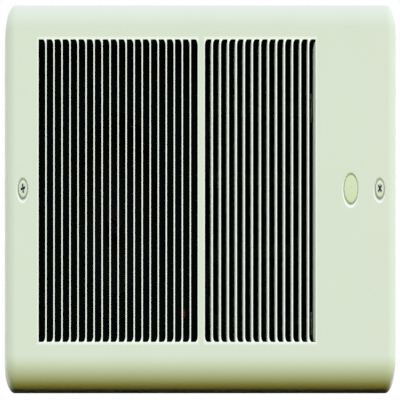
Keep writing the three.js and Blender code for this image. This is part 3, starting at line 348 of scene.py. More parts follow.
def powder_coat(name, colour, shade, edge, cut, roughness):
    """Powder coat with a faint orange peel: paler where it is thin and where a painted highlight is put, and
    dark on cut walls, recesses and dish floors as painted shade, partly bare cut steel.
    """
    made = Finish(name, roughness)
    tone = made.mix(made.spread(made.noise(60, 2), 0, 1), colour, shade)
    grain = made.mix(made.spread(made.noise(0.8, 2), 0, 0.06), tone, edge)
    thin_or_highlit = made.mix(made.attribute("thin_coat_and_highlight"), grain, edge)
    made.colour(made.mix(made.attribute("shade_and_bare_cut"), thin_or_highlit, cut))
    made.roughness(made.spread(made.noise(14, 4), roughness - 0.05, roughness + 0.06))
    made.bump(made.noise(1.6, 2), 0.02, 0.35)
    return made.material


def black_paint():
    """Dull black paint with a little dust on it, darker than real paint as painted shade for the inside seen
    through the slots.
    """
    made = Finish("black_paint", 0.6, specular=0.03)
    dust = made.spread(made.noise(9, 5), 0, 0.5, 0.45, 0.8)
    made.colour(made.mix(dust, (0.001, 0.0014, 0.0018), (0.003, 0.0035, 0.004)))
    made.roughness(made.spread(made.noise(4, 3), 0.52, 0.72))
    made.bump(made.noise(0.7, 2), 0.03, 0.4)
    return made.material


def moulded(name, colour, shade, roughness, grain=0.6, specular=0.5):
    """Moulded plastic with a fine sparked texture and slight flow marks."""
    made = Finish(name, roughness, specular=specular)
    made.colour(made.mix(made.spread(made.noise(11, 3), 0, 1), colour, shade))
    made.roughness(made.spread(made.noise(3, 3), roughness - 0.06, roughness + 0.08))
    made.bump(made.noise(grain, 2), 0.02, 0.4)
    return made.material


def bare_metal(name, colour, shade, roughness, stretch=(1, 1, 1), metallic=1.0, specular=0.5):
    """Metal with faint stains and a fine grain, drawn out along an axis where its stretch is small."""
    made = Finish(name, roughness, metallic, specular)
    stain = made.spread(made.noise(6, 4), 0, 1, 0.35, 0.75)
    made.colour(made.mix(stain, colour, shade))
    lines = made.noise(0.5, 3, stretch)
    made.roughness(made.spread(lines, roughness - 0.08, roughness + 0.12))
    made.bump(lines, 0.01, 0.5)
    return made.material


def blackened_as_shade(name, colour, shade):
    """Steel under a dull black oxide, with a little metal showing through; its near-black colours are partly
    painted shade for the dark inside.
    """
    return bare_metal(name, colour, shade, 0.7, metallic=0.1, specular=0.08)


def galvanised():
    """Hot-dip zinc: angular spangles that differ in tone and gloss, with dull stains over them."""
    made = Finish("galvanised_steel", 0.6, 0.35)
    spangle = made.node("ShaderNodeSeparateColor")
    made.link(made.cells(7), spangle.inputs["Color"])
    small = made.node("ShaderNodeSeparateColor")
    made.link(made.cells(2.6, stretch=(1, 1, 1.8)), small.inputs["Color"])
    tone = made.mix(spangle.outputs[0], (0.40, 0.43, 0.45), (0.62, 0.65, 0.67))
    fine = made.mix(made.spread(small.outputs[1], 0, 0.35, 0, 1), tone, (0.50, 0.53, 0.55))
    stain = made.spread(made.noise(45, 5), 0, 0.55, 0.5, 0.8)
    made.colour(made.mix(stain, fine, (0.36, 0.37, 0.37)))
    made.roughness(made.spread(spangle.outputs[1], 0.5, 0.68, 0, 1))
    made.bump(made.noise(1.1, 3), 0.01, 0.3)
    return made.material


def wound_copper():
    """Varnished wire turns that lie side by side."""
    made = Finish("coil_copper", 0.35, 0.9, coat=0.5)
    turns = made.waves(0.9, "X", 0.3)
    made.colour(made.mix(turns, (0.16, 0.06, 0.02), (0.50, 0.22, 0.09)))
    made.roughness(made.spread(made.noise(5, 3), 0.28, 0.45))
    made.bump(turns, 0.25, 1.0)
    return made.material


def laminated_steel():
    """Stamped sheets stacked along Y, oxidised blue-grey."""
    made = Finish("motor_steel", 0.45, 0.9)
    sheets = made.waves(0.65, "Y", 0.1)
    heat = made.spread(made.noise(18, 4), 0, 1)
    tint = made.mix(heat, (0.10, 0.10, 0.11), (0.16, 0.145, 0.13))
    made.colour(made.mix(made.spread(sheets, 0, 0.6, 0, 1), tint, (0.05, 0.05, 0.055)))
    made.roughness(made.spread(made.noise(4, 4), 0.4, 0.65))
    made.bump(sheets, 0.08, 0.7)
    return made.material


def fired_ceramic():
    """Unglazed ceramic with darker specks."""
    made = Finish("ceramic", 0.55)
    speck = made.spread(made.cells(1.7, "Distance"), 1, 0, 0.02, 0.16)
    body = made.mix(made.spread(made.noise(8, 4), 0, 1), (0.46, 0.44, 0.39), (0.38, 0.36, 0.32))
    made.colour(made.mix(speck, body, (0.26, 0.23, 0.19)))
    made.roughness(made.spread(made.noise(2, 3), 0.45, 0.7))
    made.bump(made.noise(0.5, 3), 0.04, 0.5)
    return made.material


def make_finishes():
    """One material for each slot of the record."""
    steel = (0.56, 0.57, 0.55)
    return {
        "cover_enamel": powder_coat(
            "cover_enamel",
            colour=(0.653, 0.747, 0.642),
            shade=(0.667, 0.757, 0.655),
            # pale thin coat at edges, also used as a painted highlight on the bars and dish walls
            edge=(0.88, 0.965, 0.95),
            # near black: painted shade on slot walls, recesses and dish floors, partly bare cut steel
            cut=(0.010, 0.015, 0.020),
            roughness=0.4,
        ),
        "plug_plastic": moulded("plug_plastic", (0.63, 0.74, 0.51), (0.65, 0.755, 0.53), 0.42),
        "zinc_steel": bare_metal("zinc_steel", steel, (0.43, 0.43, 0.40), 0.28),
        "spring_steel": bare_metal("spring_steel", (0.10, 0.10, 0.105), (0.06, 0.05, 0.045), 0.42),
        "galvanised_steel": galvanised(),
        "black_paint": black_paint(),
        # near black beyond real plastic: partly painted shade for the dark inside behind the slots
        "black_plastic": moulded(
            "black_plastic", (0.002, 0.0024, 0.003), (0.004, 0.0045, 0.005), 0.6, specular=0.05
        ),
        # near-black shaft and element: partly painted shade for the dark inside behind the slots
        "shaft_steel": blackened_as_shade("shaft_steel", (0.004, 0.004, 0.005), (0.007, 0.006, 0.006)),
        "element_steel": blackened_as_shade("element_steel", (0.003, 0.003, 0.0035), (0.005, 0.0045, 0.004)),
        "motor_steel": laminated_steel(),
        "aluminium": bare_metal("aluminium", (0.35, 0.36, 0.37), (0.25, 0.25, 0.26), 0.4, (0.1, 1, 1)),
        "bronze": bare_metal("bronze", (0.36, 0.22, 0.08), (0.22, 0.13, 0.05), 0.45),
        "coil_copper": wound_copper(),
        "spool_nylon": moulded("spool_nylon", (0.70, 0.67, 0.56), (0.62, 0.58, 0.46), 0.45),
        "ceramic": fired_ceramic(),
        "brass": bare_metal("brass", (0.55, 0.38, 0.13), (0.40, 0.26, 0.09), 0.32),
        # the button's red is darkened as painted shade, since it sits in shadow behind the grille
        "red_plastic": moulded("red_plastic", (0.09, 0.006, 0.005), (0.07, 0.005, 0.004), 0.5, specular=0.1),
        "green_zinc": bare_metal("green_zinc", (0.05, 0.26, 0.09), (0.03, 0.15, 0.06), 0.35),
        "black_insulation": moulded("black_insulation", (0.02, 0.02, 0.02), (0.03, 0.03, 0.028), 0.5, 1.5),
        "white_insulation": moulded("white_insulation", (0.72, 0.71, 0.66), (0.62, 0.60, 0.53), 0.5, 1.5),
        "green_insulation": moulded("green_insulation", (0.03, 0.24, 0.06), (0.02, 0.17, 0.045), 0.5, 1.5),
        "connector_plastic": moulded("connector_plastic", (0.62, 0.24, 0.03), (0.52, 0.18, 0.02), 0.4),
    }


# ------------------------------------------------------------ mesh building


class Shape:
    """Points in millimetres, faces, and for each point how pale its coat is, from thin coat and painted
    highlight, and how dark, from painted shade and bare cut steel.
    """

    def __init__(self):
        self.points = []
        self.faces = []
        self.thin_coat_and_highlight = []
        self.shade_and_bare_cut = []

    def loop(self, points, thin_coat_and_highlight=0.0, shade_and_bare_cut=0.0):
        """Adds points and returns their numbers; the darkening by painted shade and bare cut steel is one
        value, or one for each point.
        """
        start = len(self.points)
        self.points += [tuple(point) for point in points]
        self.thin_coat_and_highlight += [thin_coat_and_highlight] * len(points)
        self.shade_and_bare_cut += shade_and_bare_cut if isinstance(shade_and_bare_cut, list) else [shade_and_bare_cut] * len(points)
        return list(range(start, len(self.points)))

    def bridge(self, first, second):
        """Quads between two closed loops of the same length."""
        count = len(first)
        for i in range(count):
            j = (i + 1) % count
            self.faces.append((first[i], first[j], second[j], second[i]))

    def loft(self, loops):
        for first, second in zip(loops, loops[1:]):
            self.bridge(first, second)

    def sheet(self, outer, holes, facing):
        """A flat face between a loop and the holes in it, turned to look along facing."""
        loops = [outer, *holes]
        flat = [index for loop in loops for index in loop]
        outlines = [[Vector(self.points[index]) for index in loop] for loop in loops]
        for corners in geometry.tessellate_polygon(outlines):
            face = [flat[corner] for corner in corners]
            a, b, c = (Vector(self.points[index]) for index in face)
            if (b - a).cross(c - a).dot(facing) < 0:
                face.reverse()
            self.faces.append(tuple(face))

    def spun(self, x, z, profile, sides=ROUND_SIDES):
        """Radius and depth pairs spun about an axis along Y; a radius of 0 closes the end."""
        rings = []
        for radius, y in profile:
            rings.append(self.loop(circle(x, z, radius, y, sides) if radius else [(x, y, z)]))
        for first, second in zip(rings, rings[1:]):
            if len(first) == len(second):
                self.bridge(first, second)
            else:
                point, ring = (first, second) if len(first) == 1 else (second, first)
                self.faces += [(point[0], ring[i], ring[(i + 1) % sides]) for i in range(sides)]
        return rings


def make_piece(name, shape, finish, smooth_below=PRESSED_SMOOTH_BELOW):
    """An object of the shape, shaded smooth across edges flatter than the angle."""
    mesh = bpy.data.meshes.new(name)
    mesh.from_pydata([[v * MM for v in point] for point in shape.points], [], shape.faces)
    for attribute, values in (("thin_coat_and_highlight", shape.thin_coat_and_highlight), ("shade_and_bare_cut", shape.shade_and_bare_cut)):
        mesh.attributes.new(attribute, "FLOAT", "POINT").data.foreach_set("value", values)
    mesh.validate()
    piece = bpy.data.objects.new(name, mesh)
    bpy.context.collection.objects.link(piece)
    mesh.materials.append(finish)
    work = bmesh.new()
    work.from_mesh(mesh)
    bmesh.ops.remove_doubles(work, verts=work.verts, dist=MERGE_WITHIN * MM)
    bmesh.ops.recalc_face_normals(work, faces=work.faces)
    work.to_mesh(mesh)
    work.free()
    mesh.shade_smooth()
    mesh.set_sharp_from_angle(angle=smooth_below)
    weigh = piece.modifiers.new("weigh", "WEIGHTED_NORMAL")
    weigh.keep_sharp = True
    weigh.weight = AREA_WEIGHT
    return piece


def circle(x, z, radius, y, sides=ROUND_SIDES):
    """Points round an axis along Y."""
    turns = (2 * math.pi * i / sides for i in range(sides))
    return [(x + radius * math.cos(t), y, z + radius * math.sin(t)) for t in turns]


# ------------------------------------------------------------ front cover


def pan_ring(inset, angle, y):
    """One closed outline of the pan, pulled in by the rolled edge at the given angle from the front."""
    pull = 1 - math.sin(angle)
    radius_x = CORNER_X - inset - (ROLL_X - inset) * pull
    radius_z = CORNER_Z - inset - (ROLL_Z - inset) * pull
    centre_x = COVER_WIDTH / 2 - CORNER_X
    centre_z = COVER_HEIGHT / 2 - CORNER_Z
    ring = []
    for quadrant, (side_x, side_z) in enumerate(((1, 1), (-1, 1), (-1, -1), (1, -1))):
        for step in range(CORNER_STEPS + 1):
            turn = (quadrant + step / CORNER_STEPS) * QUARTER
            x = side_x * centre_x + radius_x * math.cos(turn)
            ring.append((x, y, side_z * centre_z + radius_z * math.sin(turn)))
    return ring


def slot_ring(hinge, side, grow, hinge_grow, y):
    """A slot's outline, grown by so much: nearly square at the hinge, rounded at the free edge."""
    half = SLOT_HALF + grow
    free = SLOT_WIDTH + (INTAKE_TRIM if side > 0 else OUTLET_TRIM) + grow
    at_hinge = (hinge - side * hinge_grow, HINGE_CORNER, 1, HINGE_CORNER_STEPS)
    at_free_edge = (hinge + side * free, SLOT_CORNER + grow, -1, SLOT_CORNER_STEPS)
    corners = ((at_hinge, -1), (at_free_edge, -1), (at_free_edge, 1), (at_hinge, 1))
    ring = []
    for number, ((x, radius, inward, steps), end) in enumerate(corners):
        centre_x = x + side * inward * radius
        centre_z = end * (half - radius)
        for step in range(steps + 1):
            turn = (2 + number + step / steps) * QUARTER
            ring.append((centre_x + side * radius * math.cos(turn), y, centre_z + radius * math.sin(turn)))
    return ring


def slot_places():
    """Each slot's hinge and the side of it that the slot lies on, for the intake and for the outlet."""
    left = [(SLOT_START + i * PITCH, 1) for i in range(INTAKE_SLOTS)]
    start = INTAKE_END + DIVIDER + SLOT_WIDTH
    return left, [(start + i * PITCH, -1) for i in range(OUTLET_SLOTS)]


def section_ring(left, right):
    """A line on the face just outside one grille's slots, inside which the coat is thin and pales towards
    the bars as a painted highlight.
    """
    left -= SECTION_MARGIN
    right += SECTION_MARGIN
    high = SLOT_HALF + SECTION_MARGIN
    return [(left, FACE, -high), (right, FACE, -high), (right, FACE, high), (left, FACE, high)]


def slot_shade_and_cut(ring, hinge):
    """How dark each point of a slot's cut wall is, as painted shade and bare cut steel: less near the hinge,
    where the sheet is bent.
    """
    return [HINGE_SHADE if abs(x - hinge) < SLOT_WIDTH / 3 else 1 for x, _, _ in ring]


def cut_slot(shape, hinge, side):
    """The softened walls of one slot; returns its outlines on the face and on the back."""
    loops = []
    for step in range(EDGE_STEPS + 1):
        angle = step / EDGE_STEPS * QUARTER
        away = 1 - math.sin(angle)
        y = FACE + HINGE_EDGE * (1 - math.cos(angle))
        ring = slot_ring(hinge, side, SLOT_EDGE * away, HINGE_EDGE * away, y)
        # every slot edge is pale, a painted highlight along the bars; past the first steps the wall is
        # darkened as painted shade and bare cut steel
        loops.append(shape.loop(ring, 1, slot_shade_and_cut(ring, hinge) if step > UNSHADED_STEP else 0))
    loops.append(shape.loop(slot_ring(hinge, side, 0, 0, FACE_BACK), 1, 1))
    shape.loft(loops)
    return loops[0], loops[-1]


def add_flap(shape, hinge, side, bend):
    """The louvre flap that was cut from the slot, bent back behind its hinge edge."""
    along = Vector((side * math.cos(bend), math.sin(bend)))
    across = Vector((-side * math.sin(bend), math.cos(bend)))
    root = Vector((hinge, FACE + HINGE_EDGE))
    straight = SLOT_WIDTH - FLAP_CORNER
    stations = [(-FLAP_ROOT, 0)]
    stations += [(straight * i / FLAP_STRAIGHT_STEPS, 0) for i in range(1, FLAP_STRAIGHT_STEPS + 1)]
    for step in range(1, FLAP_CORNER_STEPS + 1):
        turn = QUARTER * step / FLAP_CORNER_STEPS
        stations.append((straight + FLAP_CORNER * math.sin(turn), FLAP_CORNER * (1 - math.cos(turn))))
    high = SLOT_HALF - FLAP_END_GAP
    loops = []
    for reach, drop in stations:
        front = root + along * reach
        back = front + across * FLAP_SHEET
        z = high - drop
        corners = [(*front, -z), (*back, -z), (*back, z), (*front, z)]
        loops.append(shape.loop(corners, FLAP_WEAR))
    shape.loft(loops)
    shape.faces.append(tuple(loops[0]))
    shape.faces.append(tuple(reversed(loops[-1])))


def press_dish(shape, x, hole, dish):
    """A pressed set-down with a flared mouth and a holed floor; returns its outer lines, front and back."""
    mouth, floor, depth = dish
    shares = [step / DISH_STEPS for step in range(DISH_STEPS + 1)]
    wall = []
    for share in shares:
        centre = (x + DISH_LEAN[0] * (1 - share), ROW_Z + DISH_LEAN[1] * (1 - share))
        wall.append((centre, mouth + (floor - mouth) * share, depth * (1 - math.cos(math.pi * share)) / 2))
    loops = []
    for share, (centre, radius, y) in zip(shares, wall):
        # the wall pales towards its middle as a painted highlight, and darkens at its foot as painted shade
        shade_and_bare_cut = DISH_SHADE * max(0, share - DISH_UNSHADED) / (1 - DISH_UNSHADED)
        loops.append(shape.loop(circle(*centre, radius, FACE + y), math.sin(math.pi * share), shade_and_bare_cut))
    # the floor ring around the hole is darkened as painted shade
    loops.append(shape.loop(circle(x, ROW_Z, hole, FACE + depth), 0, FLOOR_SHADE))
    loops.append(shape.loop(circle(x, ROW_Z, hole, FACE_BACK + depth)))
    for centre, radius, y in reversed(wall):
        loops.append(shape.loop(circle(*centre, radius + SHEET / 2, FACE_BACK + y)))
    shape.loft(loops)
    return loops[0], loops[-1]


def roll_edge(shape):
    """The pan's walls, from the face round the rim to the face's back; returns the first and last line."""
    turns = [step / ROLL_STEPS * QUARTER for step in range(ROLL_STEPS + 1)]
    inner_roll = ROLL_Y - SHEET
    rings = [pan_ring(0, turn, FACE + ROLL_Y * (1 - math.cos(turn))) for turn in turns]
    rings += [pan_ring(0, QUARTER, -RIM_EASE), pan_ring(RIM_EASE, QUARTER, 0), pan_ring(SHEET, QUARTER, 0)]
    rings += [pan_ring(SHEET, turn, FACE_BACK + inner_roll * (1 - math.cos(turn))) for turn in turns[::-1]]
    loops = [shape.loop(ring) for ring in rings]
    shape.loft(loops)
    return loops[0], loops[-1]


def cut_grille(shape, places, bends, left, right):
    """One grille's slots and flaps; returns the line round it on the face, and its slots on the back."""
    slots = [cut_slot(shape, hinge, side) for hinge, side in places]
    section = shape.loop(section_ring(left, right))
    shape.sheet(section, [front for front, _ in slots], FORWARD)
    for (hinge, side), bend in zip(places, bends):
        add_flap(shape, hinge, side, bend)
    return section, [back for _, back in slots]


def front_cover(finish):
    """The pressed cover: rolled edges, two grilles of bent flaps, and three dishes."""
    shape = Shape()
    face_edge, back_edge = roll_edge(shape)
    intake, outlet = slot_places()
    intake_bends = [INTAKE_BEND] * INTAKE_SLOTS
    outlet_bends = [OUTLET_BEND] * (OUTLET_SLOTS - 1) + [LAST_BEND]
    left_section, left_slots = cut_grille(shape, intake, intake_bends, SLOT_START, INTAKE_END)
    right_section, right_slots = cut_grille(shape, outlet, outlet_bends, INTAKE_END + DIVIDER, SLOT_END)
    front_holes = [left_section, right_section]
    back_holes = left_slots + right_slots
    for x, hole, dish in (
        (-SCREW_X, SCREW_HOLE, DIMPLE),
        (SCREW_X, SCREW_HOLE, DIMPLE),
        (PLUG_X, PLUG_HOLE, PLUG_DISH),
    ):
        front, back = press_dish(shape, x, hole, dish)
        front_holes.append(front)
        back_holes.append(back)
    shape.sheet(face_edge, front_holes, FORWARD)
    shape.sheet(back_edge, back_holes, BACKWARD)
    piece = make_piece("front_cover_pressing", shape, finish)
    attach(piece, "root")
    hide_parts("front_cover")


# ------------------------------------------------------------ screws, plug and trim


def cross_ring(x, z, arm, half, turn, y):
    """The outline of a cross recess, turned by so much."""
    ring = []
    for quarter in range(4):
        angle = turn + quarter * QUARTER
        for along, across in ((arm, -half), (arm + half / 4, 0), (arm, half), (half, half)):
            across_x = along * math.cos(angle) - across * math.sin(angle)
            across_z = along * math.sin(angle) + across * math.cos(angle)
            ring.append((x + across_x, y, z + across_z))
    return ring


def thread_ring(x, z, row, y, depth):
    """One line of a helical thread, whose radius swells where the helix passes."""
    ring = []
    sides = ROUND_SIDES // 2
    for i in range(sides):
        phase = (row / THREAD_ROWS - i / sides) % 1
        radius = SCREW_SHANK - THREAD_DEPTH * abs(2 * phase - 1) - (THREAD_DEPTH - depth)
        turn = 2 * math.pi * i / sides
        ring.append((x + radius * math.cos(turn), y, z + radius * math.sin(turn)))
    return ring


def cover_screw(side, x, finish):
    """A flat-topped pan screw with a cross recess and a threaded shank, coated like the cover."""
    shape = Shape()
    top = FACE - SCREW_PROUD
    seat = FACE + DIMPLE[2] - SEAT_GAP
    ease = TURNED_EASE
    profile = [(SCREW_HEAD - inset, top + drop) for inset, drop in SCREW_CROWN]
    profile += [(SCREW_HEAD, seat - ease), (SCREW_HEAD - ease, seat)]
    profile += [(SCREW_SHANK + ease, seat), (SCREW_SHANK, seat + ease)]
    rings = shape.spun(x, ROW_Z, profile, ROUND_SIDES // 2)
    turn = SCREW_TURNS[side]
    arm_in, half_in, lip_depth = RECESS_LIP
    lip_ring = cross_ring(x, ROW_Z, RECESS_ARM - arm_in, RECESS_HALF - half_in, turn, top + lip_depth)
    pit_ring = cross_ring(x, ROW_Z, RECESS_ARM / 2, RECESS_HALF / 2, turn, top + RECESS_DEPTH)
    # the cross recess darkens inwards from its mouth as painted shade
    mouth = shape.loop(cross_ring(x, ROW_Z, RECESS_ARM, RECESS_HALF, turn, top), 0, RECESS_SHADE)
    lip = shape.loop(lip_ring, 0, 1)
    pit = shape.loop(pit_ring, 0, 1)
    shape.sheet(rings[0], [mouth], FORWARD)
    shape.loft([mouth, lip, pit])
    shape.sheet(pit, [], FORWARD)
    add_thread(shape, x, rings[-1], seat + THREAD_START)
    piece = make_piece(f"cover_screw_{side}_coated", shape, finish)
    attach(piece, "root")
    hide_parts(f"cover_screw_{side}")


def add_thread(shape, x, shank, start):
    """The threaded shank from its first line to its tip, with the thread fading in and out."""
    rows = int((SCREW_TIP - start) / THREAD_PITCH * THREAD_ROWS)
    thread = [shank]
    for row in range(rows + 1):
        fade = min(1, row / THREAD_ROWS, (rows - row) / THREAD_ROWS)
        y = start + row * THREAD_PITCH / THREAD_ROWS
        thread.append(shape.loop(thread_ring(x, ROW_Z, row, y, THREAD_DEPTH * fade), THREAD_WEAR))
    shape.loft(thread)
    shape.sheet(thread[-1], [], BACKWARD)


def hole_plug(finish):
    """A flat button that snaps into its hole, with a softened cap and a snap ring on its hollow neck."""
    top = FACE + PLUG_SUNK
    seat = FACE + PLUG_DISH[2] - SEAT_GAP
    behind = FACE_BACK + PLUG_DISH[2] + SNAP_GAP
    end = behind + PLUG_REACH
    inner = PLUG_NECK - PLUG_WALL
    snap = PLUG_NECK + SNAP_HEIGHT
    profile = [(radius, top + drop) for radius, drop in PLUG_GATE]
    profile += [(PLUG_RADIUS - inset, top + drop) for inset, drop in PLUG_CROWN]
    profile += [(PLUG_RADIUS, seat - TURNED_EASE), (PLUG_RADIUS - TURNED_EASE, seat), (PLUG_NECK, seat)]
    profile += [(PLUG_NECK, behind), (snap, behind + SNAP_START), (snap, behind + SNAP_END)]
    profile += [(PLUG_NECK - PLUG_TAPER, end), (inner, end)]
    profile += [(inner, seat + PLUG_CHAMFER), (inner - PLUG_CHAMFER, seat), (0, seat)]
    shape = Shape()
    shape.spun(PLUG_X, ROW_Z, profile)
    piece = make_piece("hole_plug_button", shape, finish)
    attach(piece, "root")
    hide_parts("hole_plug")


def gasket_ring(x, end, swell):
    """The strip's outline at one place along it, which folds back only inside the can's mouth."""
    front = GASKET_FRONT + swell
    shoulder = front + GASKET_SOFT
    low = CAN_MOUTH - GASKET_INSIDE - swell / 2
    high = CAN_MOUTH + GASKET_OUTSIDE + swell / 2
    bend = CAN_MOUTH - GASKET_GAP
    inside = GASKET_BACK + (GASKET_FOLD if abs(x) < GASKET_FOLD_HALF else 0)
    ring = [(low, inside), (low, shoulder), (low + GASKET_SOFT, front), (high - GASKET_SOFT, front)]
    ring += [(high, shoulder), (high, GASKET_BACK), (bend, GASKET_BACK), (bend, inside)]
    return [(x, y, end * z) for z, y in ring]


def flange_gaskets_as_shade(finish):
    """Foam strips folded over the can's mouth, above and below, that seal the gap behind the cover; their
    black foam also stands in as painted shade seen through the slots.
    """
    (high_wave, high_turn), (low_wave, low_turn) = GASKET_WAVES
    for name, end in (("upper", 1), ("lower", -1)):
        shape = Shape()
        loops = []
        for step in range(GASKET_STEPS + 1):
            x = GASKET_HALF * (2 * step / GASKET_STEPS - 1)
            swell = high_wave * math.sin(step * high_turn + end) + low_wave * math.sin(step * low_turn)
            loops.append(shape.loop(gasket_ring(x, end, swell)))
        shape.loft(loops)
        shape.sheet(loops[0], [], Vector((-1, 0, 0)))
        shape.sheet(loops[-1], [], Vector((1, 0, 0)))
        piece = make_piece(f"flange_gasket_{name}", shape, finish, FOAM_SMOOTH_BELOW)
        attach(piece, "root")


def reset_bushing(finish):
    """A dark collar in the chassis that closes the ring between the reset button and its hole."""
    low, high = (Vector(corner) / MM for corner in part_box("reset_button"))
    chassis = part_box("chassis_plate")[0][1] / MM
    inner = BUTTON_RADIUS + BUSHING_GAP
    outer = inner + BUSHING_WALL
    flange = outer + BUSHING_FLANGE
    front = chassis - BUSHING_FRONT
    back = chassis + BUSHING_BACK
    behind = chassis - CHASSIS_GAP
    profile = [(inner, back), (inner, front + BUSHING_MOUTH[1]), (inner + BUSHING_MOUTH[0], front)]
    profile += [(flange - BUSHING_RIM[0], front), (flange, front + BUSHING_RIM[1]), (flange, behind)]
    profile += [(outer, behind), (outer, back), (inner, back)]
    shape = Shape()
    shape.spun((low.x + high.x) / 2, (low.z + high.z) / 2, profile, ROUND_SIDES // 2)
    piece = make_piece("reset_bushing", shape, finish)
    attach(piece, "root")


# ------------------------------------------------------------ CAD pieces that stay


def smoothing():
    """A node group that shades a mesh smooth, apart from its sharp edges."""
    tree = bpy.data.node_groups.new("smooth_by_angle", "GeometryNodeTree")
    tree.interface.new_socket("Geometry", in_out="INPUT", socket_type="NodeSocketGeometry")
    tree.interface.new_socket("Geometry", in_out="OUTPUT", socket_type="NodeSocketGeometry")
    start = tree.nodes.new("NodeGroupInput")
    end = tree.nodes.new("NodeGroupOutput")
    angle = tree.nodes.new("GeometryNodeInputMeshEdgeAngle")
    sharp = tree.nodes.new("FunctionNodeCompare")
    sharp.operation = "GREATER_THAN"
    sharp.inputs[1].default_value = SMOOTH_BELOW
    edges = tree.nodes.new("GeometryNodeSetShadeSmooth")
    edges.domain = "EDGE"
    edges.inputs["Shade Smooth"].default_value = False
    faces = tree.nodes.new("GeometryNodeSetShadeSmooth")
    tree.links.new(start.outputs[0], edges.inputs["Geometry"])
    tree.links.new(angle.outputs["Unsigned Angle"], sharp.inputs[0])
    tree.links.new(sharp.outputs[0], edges.inputs["Selection"])
    tree.links.new(edges.outputs[0], faces.inputs["Geometry"])
    tree.links.new(faces.outputs[0], end.inputs[0])
    return tree


def dress_cad(frame, finishes):
    """Every CAD node takes its slot's finish, and its edges are eased."""
    tree = smoothing()
    for entry in frame["record"]["subparts"]:
        node = frame["nodes"][entry["node"]]
        node.data.materials.clear()
        node.data.materials.append(finishes[entry["material_slot"]])
        ease = node.modifiers.new("ease", "BEVEL")
        ease.width = EDGE_EASE * MM
        ease.segments = 2
        ease.limit_method = "ANGLE"
        ease.angle_limit = SMOOTH_BELOW
        node.modifiers.new("smooth", "NODES").node_group = tree


# ------------------------------------------------------------ floor and light


def stage_plate(name, corners, material):
    """A flat plate of the stage between four corners, which are in millimetres."""
    mesh = bpy.data.meshes.new(name)
    mesh.from_pydata([[v * MM for v in corner] for corner in corners], [], [(0, 1, 2, 3)])
    mesh.materials.append(material)
    plate = bpy.data.objects.new(name, mesh)
    bpy.context.collection.objects.link(plate)
    return plate


def black_card(name):
    """A material that throws back no light."""
    material = bpy.data.materials.new(name)
    material.use_nodes = True
    shader = material.node_tree.nodes["Principled BSDF"]
    shader.inputs["Base Color"].default_value = (0, 0, 0, 1)
    shader.inputs["Specular IOR Level"].default_value = 0
    return material


def make_floor():
    """Plain pale paper far below the heater that throws no light on it."""
    reach = FLOOR_REACH
    sides = ((-reach, -reach), (reach, -reach), (reach, reach), (-reach, reach))
    made = Finish("floor_paper", 0.8)
    made.colour(made.mix(made.noise(300, 2), (0.88, 0.88, 0.87), (0.9, 0.9, 0.89)))
    floor = stage_plate("floor", [(x, y, FLOOR_Z) for x, y in sides], made.material)
    floor.visible_diffuse = False
    floor.visible_glossy = False


def make_wall_card():
    """A white strip of the wall's surface just under the cover, which hides the can from below."""
    half = COVER_WIDTH / 2
    top = -COVER_HEIGHT / 2 + WALL_CARD_OVERLAP
    low = top - WALL_CARD_HEIGHT
    sides = ((-half, top), (-half, low), (half, low), (half, top))
    material = black_card("wall_card")
    shader = material.node_tree.nodes["Principled BSDF"]
    shader.inputs["Emission Color"].default_value = (1, 1, 1, 1)
    shader.inputs["Emission Strength"].default_value = 1
    card = stage_plate("wall_card", [(x, WALL_CARD_Y, z) for x, z in sides], material)
    card.visible_diffuse = False
    card.visible_glossy = False
    card.visible_shadow = False


def make_flag():
    """A black card close under the cover's rear edge, out of the camera's sight, that shades it."""
    half = COVER_WIDTH / 2
    z = -COVER_HEIGHT / 2 - FLAG_DROP
    sides = ((-half, FLAG_FRONT), (half, FLAG_FRONT), (half, FLAG_BACK), (-half, FLAG_BACK))
    flag = stage_plate("flag", [(x, y, z) for x, y in sides], black_card("flag_felt"))
    flag.visible_camera = False


def light_ramp(tree, height, stops):
    """The light's colour by the height of the direction that it comes from."""
    ramp = tree.nodes.new("ShaderNodeValToRGB")
    tree.links.new(height, ramp.inputs["Fac"])
    elements = ramp.color_ramp.elements
    while len(elements) < len(stops):
        elements.new(0.5)
    for element, (rise, colour) in zip(elements, stops):
        element.position = (rise + 1) / 2
        element.color = (*colour, 1)
    return ramp.outputs["Color"]


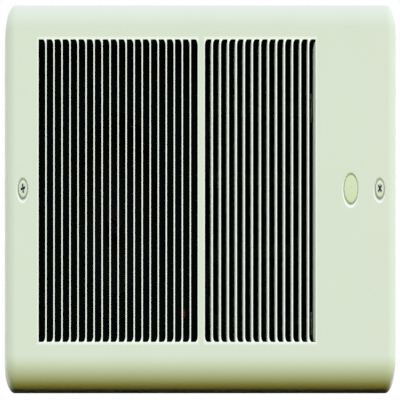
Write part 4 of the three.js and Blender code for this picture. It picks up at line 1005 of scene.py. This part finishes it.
def make_light():
    """A soft studio: bright above and in front, dim and warm below, a little darker on the left."""
    world = bpy.data.worlds.new("studio")
    bpy.context.scene.world = world
    world.use_nodes = True
    tree = world.node_tree
    place = tree.nodes.new("ShaderNodeTexCoord")
    split = tree.nodes.new("ShaderNodeSeparateXYZ")
    tree.links.new(place.outputs["Generated"], split.inputs["Vector"])
    height = ranged(tree, split.outputs["Z"], 0, 1, -1, 1)
    behind = ranged(tree, split.outputs["Y"], 0, 1, -LIGHT_TURN, LIGHT_TURN)
    strength = ranged(tree, split.outputs["X"], LEFT_LIGHT, RIGHT_LIGHT, -1, 1)
    front_light = light_ramp(tree, height, FRONT_LIGHT)
    back_light = light_ramp(tree, height, BACK_LIGHT)
    light = tree.nodes["Background"]
    tree.links.new(mixed(tree, behind, front_light, back_light), light.inputs["Color"])
    tree.links.new(strength, light.inputs["Strength"])
    backdrop = tree.nodes.new("ShaderNodeBackground")
    backdrop.inputs["Color"].default_value = (1, 1, 1, 1)
    rays = tree.nodes.new("ShaderNodeLightPath")
    choose = tree.nodes.new("ShaderNodeMixShader")
    tree.links.new(rays.outputs["Is Camera Ray"], choose.inputs[0])
    tree.links.new(light.outputs[0], choose.inputs[1])
    tree.links.new(backdrop.outputs[0], choose.inputs[2])
    tree.links.new(choose.outputs[0], tree.nodes["World Output"].inputs["Surface"])
    bpy.context.scene.view_settings.view_transform = "Standard"


# ------------------------------------------------------------ the scene

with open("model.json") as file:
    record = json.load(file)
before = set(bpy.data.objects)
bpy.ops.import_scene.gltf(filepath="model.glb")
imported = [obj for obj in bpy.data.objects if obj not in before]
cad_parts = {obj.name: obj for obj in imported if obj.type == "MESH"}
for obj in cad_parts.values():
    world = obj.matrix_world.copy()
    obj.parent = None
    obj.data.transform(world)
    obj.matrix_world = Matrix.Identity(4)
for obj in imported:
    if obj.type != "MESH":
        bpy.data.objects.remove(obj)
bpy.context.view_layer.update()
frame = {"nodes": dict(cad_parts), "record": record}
make_camera()
finishes = make_finishes()
dress_cad(frame, finishes)
front_cover(finishes["cover_enamel"])
for side, x in (("left", -SCREW_X), ("right", SCREW_X)):
    cover_screw(side, x, finishes["cover_enamel"])
hole_plug(finishes["plug_plastic"])
flange_gaskets_as_shade(finishes["black_plastic"])
reset_bushing(finishes["black_plastic"])
make_floor()
make_wall_card()
make_flag()
make_light()
